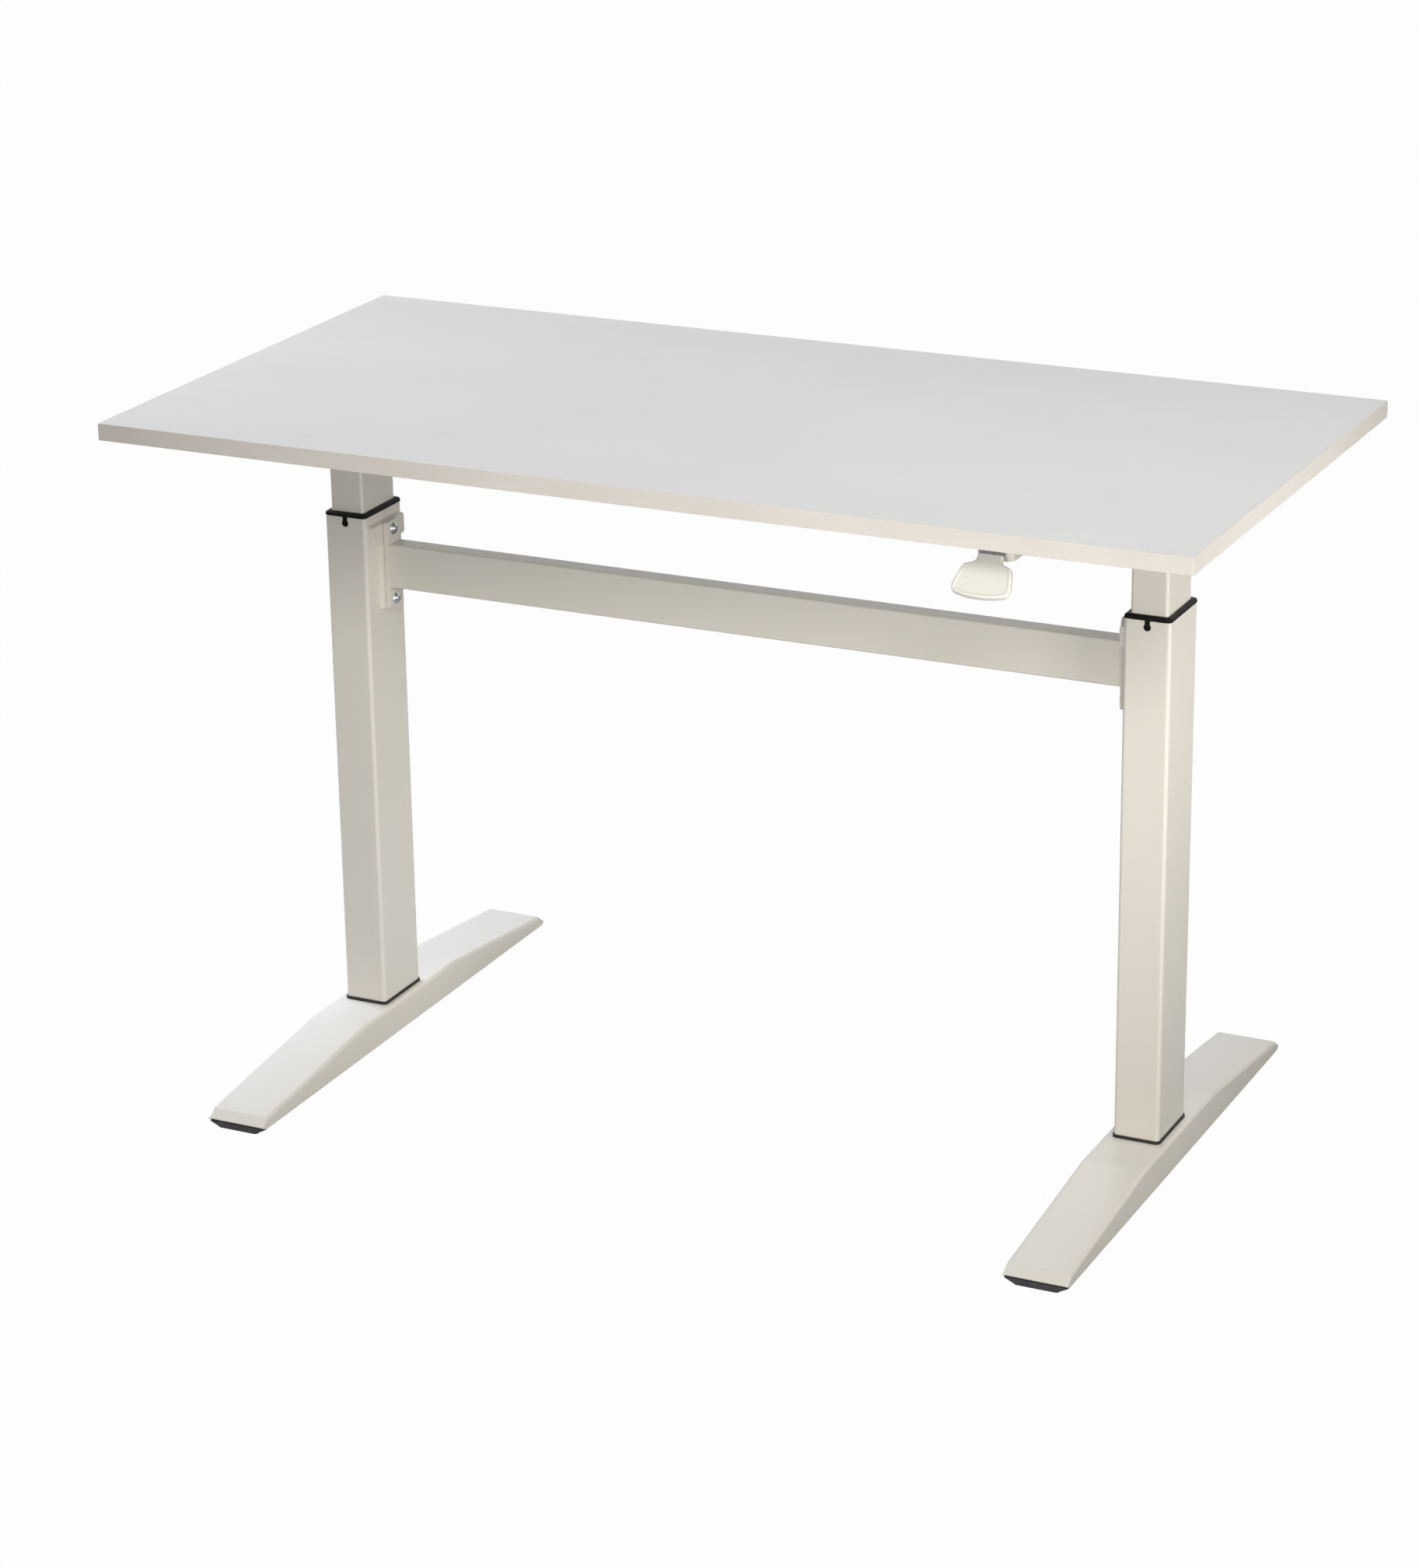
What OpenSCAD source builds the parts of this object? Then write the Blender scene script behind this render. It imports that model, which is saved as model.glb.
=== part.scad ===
// Height adjustable desk on two gas-spring columns, raised by a squeeze paddle.
// Millimetres, +Z up, +X to the user's right, the user sits on the -Y side.
// The origin lies on the floor, midway between the two columns.

/* [Tabletop] */
// Width of the tabletop
top_w = 1200; // [1100:10:1600]
// Depth of the tabletop
top_d = 600; // [580:10:700]
// Thickness of the board
board_t = 18; // [16:1:25]
// Thickness of the edge bands
band_t = 1; // [0.5:0.1:2]
// Height of the work surface with the columns closed
desk_h = 770; // [760:5:790]

/* [Columns] */
// Lift of the columns
travel = 400; // [300:10:420]
// Distance from a column's centre to the nearer end of the board
column_inset = 137.5; // [110:0.5:180]
// Width of the outer tube, along X
outer_w = 50; // [48:1:56]
// Depth of the outer tube, along Y
outer_d = 80; // [78:1:90]
// Length of the inner tube that shows with the columns closed
column_show = 102; // [80:1:120]
// Corner radius of the outer tube
outer_r = 4; // [3:0.5:5]
// Width of the inner tube, along X
inner_w = 40; // [38:0.5:41]
// Depth of the inner tube, along Y
inner_d = 70; // [66:0.5:71]
// Height of the rubber bumper under the inner tube
bumper_h = 25; // [20:1:40]
// Corner radius of the inner tube
inner_r = 3.5; // [2.5:0.5:4]
// Wall of both tubes
tube_wall = 1.5; // [1.2:0.1:2]
// Height of the collar's lip above the outer tube
lip_h = 5; // [4:0.5:8]
// Depth of the collar's skirt inside the outer tube
skirt_h = 40; // [30:1:60]
// Length of the sliding shoe around the foot of the inner tube
shoe_h = 50; // [40:1:70]

/* [Feet] */
// Width of a foot
foot_w = 70; // [66:1:90]
// Reach of a foot's nose past the edge of the board
foot_reach = 25.5; // [0:0.5:40]
// Height of the level top of a foot
foot_h = 42; // [40:1:50]
// Length of the level top
foot_level = 210; // [180:5:260]
// Height of the edge between the taper and the sloped nose
nose_h = 19; // [17:0.5:24]
// Length of the sloped nose
nose_len = 10; // [6:1:16]
// Sheet thickness of a foot
foot_wall = 2; // [1.5:0.1:2.5]
// Radius of the long top edges
foot_r = 5; // [4:0.5:7]
// Height of the pads that carry the noses
pad_h = 10; // [8:1:14]
// Length of a pad
pad_len = 48; // [30:1:70]
// Height of the gap under the sides of a foot
side_gap = 7; // [4:0.5:8]
// Thickness of the rubber gasket under a column
gasket_t = 3; // [2:0.5:4]

/* [Crossbar] */
// Height of the crossbar's section
bar_h = 50; // [40:1:60]
// Depth of the crossbar's section
bar_d = 25; // [22:1:30]
// Wall of the crossbar
bar_wall = 1.5; // [1.2:0.1:2]
// Distance of the crossbar's centre line below the top of the outer tubes
bar_drop = 59; // [57:1:90]
// Height of the end flanges
flange_h = 99; // [96:1:104]
// Thickness of the end flanges
flange_t = 5.5; // [4:0.5:7]
// Distance between the two bolts of a flange
flange_pitch = 80; // [78:1:82]
// Thread of the flange bolts and foot bolts
bolt_d = 8; // [6:1:8]
// Depth of the welded tee brackets
tee_t = 7; // [5:0.5:9]
// Width of a tee bracket's head, along Y
tee_head_w = 72; // [60:1:76]
// Height of a tee bracket's head
tee_head_h = 25; // [22:1:28]

/* [Upper frame] */
// Height of a support arm
arm_h = 32; // [30:1:34]
// Width of a support arm between its outer walls
arm_w = 64; // [60:1:70]
// Distance of a support arm's ends from the edges of the board
arm_setback = 50; // [30:5:70]
// Sheet thickness of a support arm
arm_t = 2.5; // [2:0.5:3]
// Width of the flanges screwed to the board
arm_flange = 15; // [14:1:20]
// Thickness of the plates welded on the inner tubes
head_t = 5; // [4:0.5:6]
// Height of the long rails
rail_h = 20; // [18:1:24]
// Width of the long rails
rail_w = 40; // [30:1:44]
// Distance between the rails
rail_pitch = 150; // [140:5:170]

/* [Gas springs] */
// Outer diameter of a gas cylinder
cylinder_d = 28; // [24:1:30]
// Diameter of a piston rod
rod_d = 10; // [9:0.5:10]
// Diameter of a release pin
pin_d = 4; // [3:0.5:4.5]
// Stroke of a release pin
pin_stroke = 3.3; // [3:0.1:3.6]

/* [Paddle] */
// Distance of the paddle's centre from the right-hand column centre
paddle_inset = 85; // [75:0.5:120]
// Distance of the hinge pin from the front edge of the tabletop
hinge_setback = 66; // [64:1:90]
// Distance of the hinge pin below the board
hinge_drop = 8.5; // [8.5:0.5:11]
// Slope of the paddle at rest
paddle_tilt = 45; // [40:1:50]
// Swing of the paddle
paddle_swing = 20; // [15:1:22]
// Width of the paddle's tray at its widest
tray_w = 61; // [56:1:70]
// Length of the paddle below its neck
tray_len = 47; // [44:1:56]
// Width of the paddle's neck
neck_w = 26; // [22:1:27]
// Width of the lever housing
housing_w = 38; // [38:1:50]
// Depth of the lever housing, along Y
housing_d = 50; // [45:1:60]
// Height of the lever housing
housing_h = 29; // [27:1:30]
// Diameter of the cable sheath
sheath_d = 5; // [4.5:0.1:5.5]

/* [Hidden] */
$fn = 40;
LEFT = -1;
RIGHT = 1;

// Finishes
ivory = [0.87, 0.85, 0.79];
melamine = [0.91, 0.91, 0.92];
band_white = [0.90, 0.87, 0.84];
black = [0.08, 0.08, 0.09];
zinc = [0.68, 0.70, 0.71];
chrome = [0.80, 0.81, 0.83];
brass = [0.80, 0.66, 0.34];

// Clearances
weld_gap = 0.05;      // between a plate and the tube it is welded in
slide_gap = 0.3;      // between the tubes and their plastic guides
fit_gap = 0.05;       // radial, of a pin in its hole
hole_gap = 0.5;       // radial, of a bolt in its hole
eps = 0.5;            // overshoot of a cut

// Heights from the board down to the feet of the columns
board_z = desk_h - board_t;
arm_z = board_z - arm_h;
arm_floor = arm_z + arm_t;
head_z = arm_z - head_t;
outer_top = head_z - column_show;
outer_z = foot_h + gasket_t;
outer_len = outer_top - outer_z;
end_plate_t = 6;
end_plate_top = outer_z + end_plate_t;
shoe_floor = 3;
inner_z = end_plate_top + bumper_h + shoe_floor;
inner_len = head_z - inner_z;

// Places of the columns and widths inside the outer tubes
column_x = top_w / 2 - column_inset;
bore_w = outer_w - 2 * tube_wall;
bore_d = outer_d - 2 * tube_wall;
bore_r = outer_r - tube_wall;

// Collar
lip_overhang = 0.7;
key_neck_w = 5.8;
key_d = 8;
key_drop = 7;

// Feet
foot_end = top_d / 2 + foot_reach;
nose_lip = 1;
foot_stations = [
    // distance from the middle, top, bottom
    [foot_level / 2, foot_h, side_gap],
    [foot_end - nose_len, nose_h, side_gap],
    [foot_end, pad_h + nose_lip, pad_h]
];
foot_bolt_x = 14.5;
foot_bolt_y = 28;
bolt_r = bolt_d / 2;
bolt_hex = 1.625 * bolt_d;
bolt_head_h = 5.3;
foot_plate_w = foot_w - 2 * foot_r;
foot_plate_len = 150;
foot_plate_t = 5;
stud_d = 10;
stud_len = 18;
nut_hex = 16;
nut_h = 8;
nut_room_r = nut_hex / 2 / cos(30) + 3;
gasket_overhang = 1.6;
pad_taper = 10;

// Crossbar and its brackets
bar_z = outer_top - bar_drop;
tube_face = column_x - outer_w / 2;
tee_face = tube_face - tee_t;
flange_face = tee_face - flange_t;
bar_len = 2 * flange_face;
bar_r = 3;
flange_r = 4;
tee_wall = 2.5;
tee_bevel = 1.2;
tee_stem_w = bar_d + 1.5;
tee_r = 3;
tee_fillet = 5;
tee_boss_r = flange_h / 2 - flange_pitch / 2 - tee_wall + 0.6;
flange_bottom = bar_z - flange_h / 2;
flange_top = bar_z + flange_h / 2;
tee_bottom = flange_bottom - 3;
button_d = 1.75 * bolt_d;
button_h = 0.55 * bolt_d;
bolt_reach = flange_t + tee_t - 1;

// Upper frame
arm_len = top_d - 2 * arm_setback;
arm_wall_x = column_x - arm_w / 2;
arm_level = 220;
arm_tip_h = 10;
arm_screw_y = [for (s = [-1, 1], y = [arm_len / 2 - 35, arm_level / 2]) s * y];
rail_wall = 1.5;
rail_plate_t = 4;
rail_len = 2 * arm_wall_x;
rail_top = board_z - arm_t;
rail_z = rail_top - rail_h / 2;
rail_bolt_d = 6;
rail_bolt_dy = 9;
head_margin_x = 10;
head_margin_y = 15;
head_w = inner_w + 2 * head_margin_x;
head_d = inner_d + 2 * head_margin_y;
head_bolt_x = inner_w / 2;
head_bolt_y = (inner_d + head_margin_y) / 2;
head_bolt_d = 6;
head_hex = 10;

// Gas springs
cylinder_len = outer_len - 8;
cylinder_wall = 1.5;
cylinder_cap = 6;
gland_h = 22;
piston_h = 15;
piston_gap = 0.08;
rod_foot = end_plate_top + cylinder_cap + 3;
rod_top = arm_floor + nut_h + 2.5;
rod_bore = 20;
pin_len = rod_bore + 1;
pin_top = rod_top + 5;

// Release levers: a bell crank in each arm, pushed round by its cable
press_r = 3;
press_gap = 0.3;
crank_y = -16;
crank_z = pin_top + press_gap + press_r;
crank_reach = 13;
crank_hub_r = 4.5;
crank_pin_r = 2.5;
crank_w = 6;
ear_x = 7;
ear_t = 2;
wire_z = crank_z - crank_reach;
wire_d = 1.5;
nipple_r = 1.8;
fork_t = 4;
fork_slot = 2.4;
stop_y = -50;
stop_t = 2;
ferrule_len = 10;
ferrule_r = sheath_d / 2 + 1;

// Paddle and housing
paddle_x = column_x - paddle_inset;
hinge_y = -top_d / 2 + hinge_setback;
hinge_z = board_z - hinge_drop;
hinge_pin_r = 2.5;
hinge_hub_r = 4.5;
hinge_hub_w = neck_w - 6;
neck_start = 19.4;
neck_len = 8;
shoulder_w = tray_w - 13;
tray_sag = 5;
rim_w = 5.5;
sheet_t = 1.6;
rim_rise = 3.2;
skirt_drop = 3;
paddle_hole_d = 3;
paddle_hole_x = 17.3;
paddle_hole_s = 27;
arm_plate_t = 2;
arm_plate_len = 38;
arm_notch = 6;
lug_angle = 60;
lug_reach = 8.3;
lug_x = 8;
lug_w = 4;
lug_y = lug_reach * cos(lug_angle);
lug_z = -lug_reach * sin(lug_angle);
housing_t = 2;
housing_chamfer = 5;
housing_front = hinge_y - 5;
housing_back = housing_front + housing_d;
housing_z = board_z - housing_h;
housing_slot_w = neck_w + 4;
housing_lip = 10;
housing_wire_z = hinge_z + lug_z;
housing_screw_dx = 11;
housing_screw_y = housing_back - 22;
spring_wire = 1;
spring_turns = 2;
spring_pitch = 1.15;
spring_r = 4;

// Cable routes, from the housing to the stop in each support arm
clip_w = 8;
clip_wall = 2.5;
clip_len = 20;
clip_screw_dy = 14;
clip_count = 3;
run_y = housing_back + 44;
run_z = board_z - sheath_d;
sheath_start = housing_back + 2.1;
sheath_end = stop_y - stop_t - 2.1;
straight = 8;
slot_front = run_y - 9;
slot_len = 34;
slot_z = wire_z + 0.7;
slot_h = 13;
clip_step = (paddle_x + arm_wall_x) / (clip_count + 1);
clip_x = [for (k = [1:clip_count]) k * clip_step - arm_wall_x];
left_start = paddle_x - lug_x;
right_start = paddle_x + lug_x;
entry_z = slot_z + slot_h / 2;
cable_left_route = concat(
    [
        [left_start, sheath_start, housing_wire_z], [left_start, sheath_start + straight, housing_wire_z],
        [left_start, sheath_start + straight + 3, housing_wire_z],
        [left_start - 3, run_y - 23, run_z - 9], [left_start - 14, run_y - 11, run_z - 5.5],
        [left_start - 33, run_y - 3, run_z - 2], [left_start - 59, run_y, run_z]
    ],
    [for (x = [left_start - 131:-clip_step / 2:45 - arm_wall_x]) [x, run_y, run_z]],
    [
        [20 - arm_wall_x, run_y + 2, entry_z + 5.5], [-arm_wall_x, run_y + 10, entry_z],
        [-column_x + 14, run_y + 24, wire_z + 4], [-column_x + 4, stop_y - 50, wire_z + 0.8],
        [-column_x, stop_y - 30, wire_z], [-column_x, stop_y - 18, wire_z], [-column_x, sheath_end, wire_z]
    ]
);
cable_right_route = [
    [right_start, sheath_start, housing_wire_z], [right_start, sheath_start + straight, housing_wire_z],
    [right_start, sheath_start + straight + 3, housing_wire_z],
    [right_start + 4, run_y - 21, entry_z + 1], [right_start + 13, run_y - 10, entry_z + 1.5],
    [(right_start + arm_wall_x) / 2 + 4, run_y - 2, entry_z + 1.2], [arm_wall_x, run_y + 8, entry_z],
    [arm_wall_x + 15, run_y + 23, wire_z + 4], [column_x - 5, stop_y - 51, wire_z + 1],
    [column_x, stop_y - 30, wire_z], [column_x, stop_y - 18, wire_z], [column_x, sheath_end, wire_z]
];

// Wood screws into the underside of the board: x, y, height of the seat
screw_d = 4.4;
screw_head_d = 9;
screw_head_h = 2.5;
screw_bite = 12;
arm_screws = [
    for (side = [LEFT, RIGHT], edge = [-1, 1], y = arm_screw_y)
        [side * column_x + edge * (arm_w + arm_flange) / 2, y, board_z - arm_t]
];
housing_screws = [
    for (dx = [-1, 1]) [paddle_x + dx * housing_screw_dx, housing_screw_y, board_z - housing_t]
];
clip_screws = [for (x = clip_x) [x, run_y + clip_screw_dy, board_z - clip_wall]];
screw_points = concat(arm_screws, housing_screws, clip_screws);

// ---------- Shared shapes ----------

// Rectangle with round corners, about the origin
module rounded_rect(w, d, r) {
    square([w - 2 * r, d], center = true);
    square([w, d - 2 * r], center = true);
    for (x = [-1, 1], y = [-1, 1])
        translate([x * (w / 2 - r), y * (d / 2 - r)]) circle(r);
}

// Rectangular tube standing on the XY plane
module box_tube(w, d, r, wall, h) {
    linear_extrude(h) difference() {
        rounded_rect(w, d, r);
        rounded_rect(w - 2 * wall, d - 2 * wall, r - wall);
    }
}

// Turns a drawing of (Y, Z) into a solid that runs along X, centred on X = 0
module along_x(w) {
    rotate([90, 0, 90]) linear_extrude(w, center = true) children();
}

// Places children on both columns, mirrored about the middle of the desk
module both_columns() {
    for (side = [LEFT, RIGHT]) translate([side * column_x, 0, 0]) children();
}

// Places children at the four corners of a rectangle
module at_corners(x, y) {
    for (sx = [-1, 1], sy = [-1, 1]) translate([sx * x, sy * y, 0]) children();
}

// Hexagon prism across flats
module hex_prism(flats, h) {
    cylinder(h = h, r = flats / 2 / cos(30), $fn = 6);
}

// Hexagon nut with a plain bore
module hex_nut(flats, h, bore_r) {
    difference() {
        hex_prism(flats, h);
        translate([0, 0, -eps]) cylinder(h = h + 2 * eps, r = bore_r);
    }
}

// Button-head screw along +Z: the head sits on Z = 0 and the shank points down
module button_screw(d, shank) {
    head_r = 0.875 * d;
    head_h = 0.55 * d;
    dome_r = (head_r * head_r + head_h * head_h) / (2 * head_h);
    difference() {
        union() {
            intersection() {
                translate([0, 0, head_h - dome_r]) sphere(dome_r);
                cylinder(h = head_h, r = head_r);
            }
            translate([0, 0, -shank]) cylinder(h = shank + head_h / 2, r = d / 2 - fit_gap);
        }
        translate([0, 0, head_h * 0.4]) hex_prism(0.62 * d, head_h);
    }
}

// Points of an arc in a plane, from angle a0 to a1
function arc(cx, cy, r, a0, a1, n = 8) =
    [for (i = [0:n]) let (a = a0 + (a1 - a0) * i / n) [cx + r * cos(a), cy + r * sin(a)]];

// ---------- Feet ----------

// Section of a foot across its width: flat sides and round top corners
module foot_section(w, top, bottom, r) {
    corner = min(r, (top - bottom) * 0.9);
    polygon(concat(
        [[-w / 2, bottom]],
        arc(-w / 2 + corner, top - corner, corner, 180, 90, 6),
        arc(w / 2 - corner, top - corner, corner, 90, 0, 6),
        [[w / 2, bottom]]
    ));
}

// Solid form of a foot, drawn in by `inset` on every side but the bottom
module foot_form(inset, drop) {
    slice = 0.02;
    hull() for (end = [-1, 1], s = foot_stations)
        translate([0, end * (s[0] - inset), 0])
            rotate([90, 0, 0])
                linear_extrude(slice, center = true)
                    foot_section(foot_w - 2 * inset, s[1] - inset, s[2] - drop, foot_r - inset);
}

// Pressed sheet foot, open underneath, long in Y
module foot(side) {
    color(ivory) translate([side * column_x, 0, 0]) difference() {
        foot_form(0, 0);
        foot_form(foot_wall, 4);
        translate([0, 0, foot_h - foot_wall - eps]) foot_holes(foot_wall + 2 * eps);
    }
}

// Bolt holes and the room for the gas spring's nut
module foot_holes(h) {
    at_corners(foot_bolt_x, foot_bolt_y) cylinder(h = h, r = bolt_r + hole_gap);
    cylinder(h = h, r = nut_room_r);
}

// Height of the underside of a foot's sheet at a distance y from its middle
function foot_under(y) =
    foot_h - foot_wall
    - (foot_h - nose_h) * (y - foot_level / 2) / (foot_end - nose_len - foot_level / 2);

// Moulded pad: a tapered block that stands on the floor, with a plug up inside the nose
module foot_pad(end) {
    plug_w = foot_w - 2 * foot_wall - 2 * foot_r;
    front = foot_end - foot_wall - 2.2;
    back = front - pad_len;
    plug_front = foot_end - nose_len - foot_wall;
    mirror([0, end < 0 ? 1 : 0, 0]) {
        hull() {
            translate([0, (front + back) / 2, 0.01])
                cube([foot_w - 2 * foot_wall - pad_taper * 2, pad_len - 8, 0.02], center = true);
            translate([0, (front + back) / 2, pad_h - 0.01])
                cube([foot_w - 2 * foot_wall - 3, pad_len, 0.02], center = true);
        }
        along_x(plug_w) polygon([
            [back, pad_h - 1], [front - 3, pad_h - 1], [plug_front - 1, foot_under(plug_front) - slide_gap],
            [back, foot_under(back) - slide_gap]
        ]);
    }
}

module foot_pads() {
    color(black) both_columns() for (end = [-1, 1]) foot_pad(end);
}

// Thick plates welded under the level top of each foot, which the bolt heads pull on
module foot_plates() {
    color(zinc) both_columns() difference() {
        translate([0, 0, foot_h - foot_wall - foot_plate_t])
            linear_extrude(foot_plate_t) rounded_rect(foot_plate_w, foot_plate_len, 4);
        translate([0, 0, foot_h - foot_wall - foot_plate_t - eps]) foot_holes(foot_plate_t + 2 * eps);
    }
}

// Hexagon bolts that hold each column down on its foot
module foot_bolts() {
    seat = foot_h - foot_wall - foot_plate_t;
    color(zinc) both_columns() at_corners(foot_bolt_x, foot_bolt_y) {
        translate([0, 0, seat - bolt_head_h]) hex_prism(bolt_hex, bolt_head_h);
        translate([0, 0, seat - 1]) cylinder(h = end_plate_top - seat, r = bolt_r - fit_gap);
    }
}

// Rubber gaskets between the columns and the feet
module gaskets() {
    color(black) both_columns() translate([0, 0, foot_h]) difference() {
        linear_extrude(gasket_t) rounded_rect(
            outer_w + 2 * gasket_overhang, outer_d + 2 * gasket_overhang, outer_r + gasket_overhang);
        translate([0, 0, -eps]) foot_holes(gasket_t + 2 * eps);
    }
}

// ---------- Outer columns ----------

// Keyhole cut in the top edge of the tube, drawn in (X, Z) from the tube's top edge
module key_shape(play) {
    translate([0, -key_drop]) circle(key_d / 2 - play);
    translate([-key_neck_w / 2 + play, -key_drop]) square([key_neck_w - 2 * play, key_drop + eps]);
}

// Solid of a keyhole through the front and back walls of the outer tube
module key_cuts(play, depth, overshoot) {
    for (face = [-1, 1])
        translate([0, face * (outer_d + overshoot - depth) / 2, outer_top])
            rotate([90, 0, 0]) linear_extrude(depth + overshoot, center = true) key_shape(play);
}

module outer_column(side) {
    color(ivory) translate([side * column_x, 0, 0]) difference() {
        translate([0, 0, outer_z]) box_tube(outer_w, outer_d, outer_r, tube_wall, outer_len);
        key_cuts(0, 2 * tube_wall, 2 * eps);
    }
}

// Plates welded in the foot of the outer tubes, tapped for the foot bolts
module end_plates() {
    color(zinc) both_columns() translate([0, 0, outer_z]) difference() {
        linear_extrude(end_plate_t)
            rounded_rect(bore_w - 2 * weld_gap, bore_d - 2 * weld_gap, bore_r - weld_gap);
        translate([0, 0, -eps]) {
            at_corners(foot_bolt_x, foot_bolt_y) cylinder(h = end_plate_t + 2 * eps, r = bolt_r);
            cylinder(h = end_plate_t + 2 * eps, r = stud_d / 2 + fit_gap);
        }
    }
}

// Collar that guides the inner tube: a lip on top, a skirt inside and a snap key on two faces
module collar(side) {
    hole_w = inner_w + 2 * slide_gap;
    hole_d = inner_d + 2 * slide_gap;
    lip_w = outer_w + 2 * lip_overhang;
    lip_d = outer_d + 2 * lip_overhang;
    color(black) translate([side * column_x, 0, 0]) difference() {
        union() {
            translate([0, 0, outer_top]) {
                linear_extrude(lip_h - 2) rounded_rect(lip_w, lip_d, outer_r + lip_overhang);
                translate([0, 0, lip_h - 2]) linear_extrude(1) rounded_rect(lip_w - 1, lip_d - 1, outer_r);
                translate([0, 0, lip_h - 1]) linear_extrude(1) rounded_rect(lip_w - 4, lip_d - 4, outer_r);
            }
            translate([0, 0, outer_top - skirt_h]) linear_extrude(skirt_h)
                rounded_rect(bore_w - 2 * weld_gap, bore_d - 2 * weld_gap, bore_r - weld_gap);
            key_cuts(weld_gap, tube_wall + 1, 0);
        }
        translate([0, 0, outer_top - skirt_h - eps]) linear_extrude(skirt_h + lip_h + 2 * eps)
            rounded_rect(hole_w, hole_d, inner_r + slide_gap);
    }
}

// Rubber blocks that the closed columns rest on
module bumpers() {
    color(black) both_columns() translate([0, 0, end_plate_top]) difference() {
        linear_extrude(inner_z - shoe_floor - end_plate_top) rounded_rect(inner_w + 2, inner_d + 2, 3);
        translate([0, 0, -eps]) cylinder(h = inner_z - end_plate_top + eps, r = cylinder_d / 2 + hole_gap);
    }
}

// ---------- Crossbar ----------

// Outline of a tee bracket in (Y, Z), drawn in by `inset`
module tee_outline(inset) {
    head = tee_head_w / 2 - inset;
    stem = tee_stem_w / 2 - inset;
    top = flange_top - inset;
    low = flange_top - tee_head_h + inset;
    bottom = tee_bottom + inset;
    r = max(tee_r - inset, 0.5);
    fillet = tee_fillet + inset;
    polygon(concat(
        arc(r - head, top - r, r, 180, 90), arc(head - r, top - r, r, 90, 0),
        arc(head - r, low + r, r, 0, -90), arc(stem + fillet, low - fillet, fillet, 90, 180),
        arc(stem - r, bottom + r, r, 0, -90), arc(r - stem, bottom + r, r, -90, -180),
        arc(-stem - fillet, low - fillet, fillet, 0, 90), arc(r - head, low + r, r, -90, -180)
    ));
}

// Pressed tee pan welded on the inner face of a column, with two tapped bosses
module tee_bracket(side) {
    color(ivory) scale([side, 1, 1]) translate([tube_face, 0, 0]) mirror([1, 0, 0]) difference() {
        union() {
            difference() {
                union() {
                    translate([(tee_t - tee_bevel) / 2, 0, 0]) along_x(tee_t - tee_bevel) tee_outline(0);
                    translate([tee_t - tee_bevel / 2, 0, 0]) along_x(tee_bevel) tee_outline(tee_bevel);
                }
                translate([(tee_t - tee_wall) / 2 - eps / 2, 0, 0])
                    along_x(tee_t - tee_wall + eps) tee_outline(tee_wall);
            }
            at_flange_bolts() rotate([0, 90, 0]) cylinder(h = tee_t - tee_bevel, r = tee_boss_r);
        }
        at_flange_bolts() translate([-eps, 0, 0]) rotate([0, 90, 0]) cylinder(h = tee_t + 2 * eps, r = bolt_r);
    }
}

// Heights of the two bolts of a flange
module at_flange_bolts() {
    for (s = [-1, 1]) translate([0, 0, bar_z + s * flange_pitch / 2]) children();
}

module crossbar_flanges() {
    color(ivory) for (side = [LEFT, RIGHT]) translate([side * (tee_face - flange_t / 2), 0, 0]) difference() {
        along_x(flange_t) translate([0, bar_z]) rounded_rect(bar_d, flange_h, flange_r);
        at_flange_bolts() rotate([0, 90, 0]) cylinder(h = flange_t + 2 * eps, r = bolt_r + hole_gap, center = true);
    }
}

module crossbar() {
    color(ivory) along_x(bar_len) translate([0, bar_z]) difference() {
        rounded_rect(bar_d, bar_h, bar_r);
        rounded_rect(bar_d - 2 * bar_wall, bar_h - 2 * bar_wall, bar_r - bar_wall);
    }
}

module crossbar_bolts() {
    color(zinc) for (side = [LEFT, RIGHT])
        translate([side * flange_face, 0, 0]) at_flange_bolts()
            rotate([0, -side * 90, 0]) button_screw(bolt_d, bolt_reach);
}

// ---------- Gas springs ----------

// Closed cylinder with a gland at the top and a threaded stud below
module gas_cylinder(side) {
    r = cylinder_d / 2;
    bore = r - cylinder_wall;
    color(black) translate([side * column_x, 0, end_plate_top]) difference() {
        union() {
            cylinder(h = cylinder_len, r = r);
            translate([0, 0, -stud_len]) cylinder(h = stud_len + 1, r = stud_d / 2);
        }
        translate([0, 0, cylinder_cap]) cylinder(h = cylinder_len - cylinder_cap - gland_h, r = bore);
        translate([0, 0, cylinder_len - gland_h - eps]) cylinder(h = gland_h + 2 * eps, r = rod_d / 2 + fit_gap);
    }
}

module cylinder_nuts() {
    color(zinc) both_columns() translate([0, 0, outer_z - nut_h]) hex_nut(nut_hex, nut_h, stud_d / 2 + fit_gap);
}

// Piston rod, bored at the top for the release pin
module gas_rod(side) {
    color(chrome) translate([side * column_x, 0, 0]) difference() {
        union() {
            translate([0, 0, rod_foot]) cylinder(h = rod_top - rod_foot, r = rod_d / 2);
            translate([0, 0, rod_foot])
                cylinder(h = piston_h, r = cylinder_d / 2 - cylinder_wall - piston_gap);
        }
        translate([0, 0, rod_top - rod_bore]) cylinder(h = rod_bore + eps, r = pin_d / 2 + fit_gap);
    }
}

// Nuts that clamp each rod to its head plate and support arm
module rod_nuts() {
    color(zinc) both_columns() for (z = [head_z - nut_h, arm_floor])
        translate([0, 0, z]) hex_nut(nut_hex, nut_h, rod_d / 2 + fit_gap);
}

module release_pin(side) {
    color(chrome) translate([side * column_x, 0, pin_top - pin_len]) cylinder(h = pin_len, r = pin_d / 2);
}

// ---------- Tabletop ----------

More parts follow.
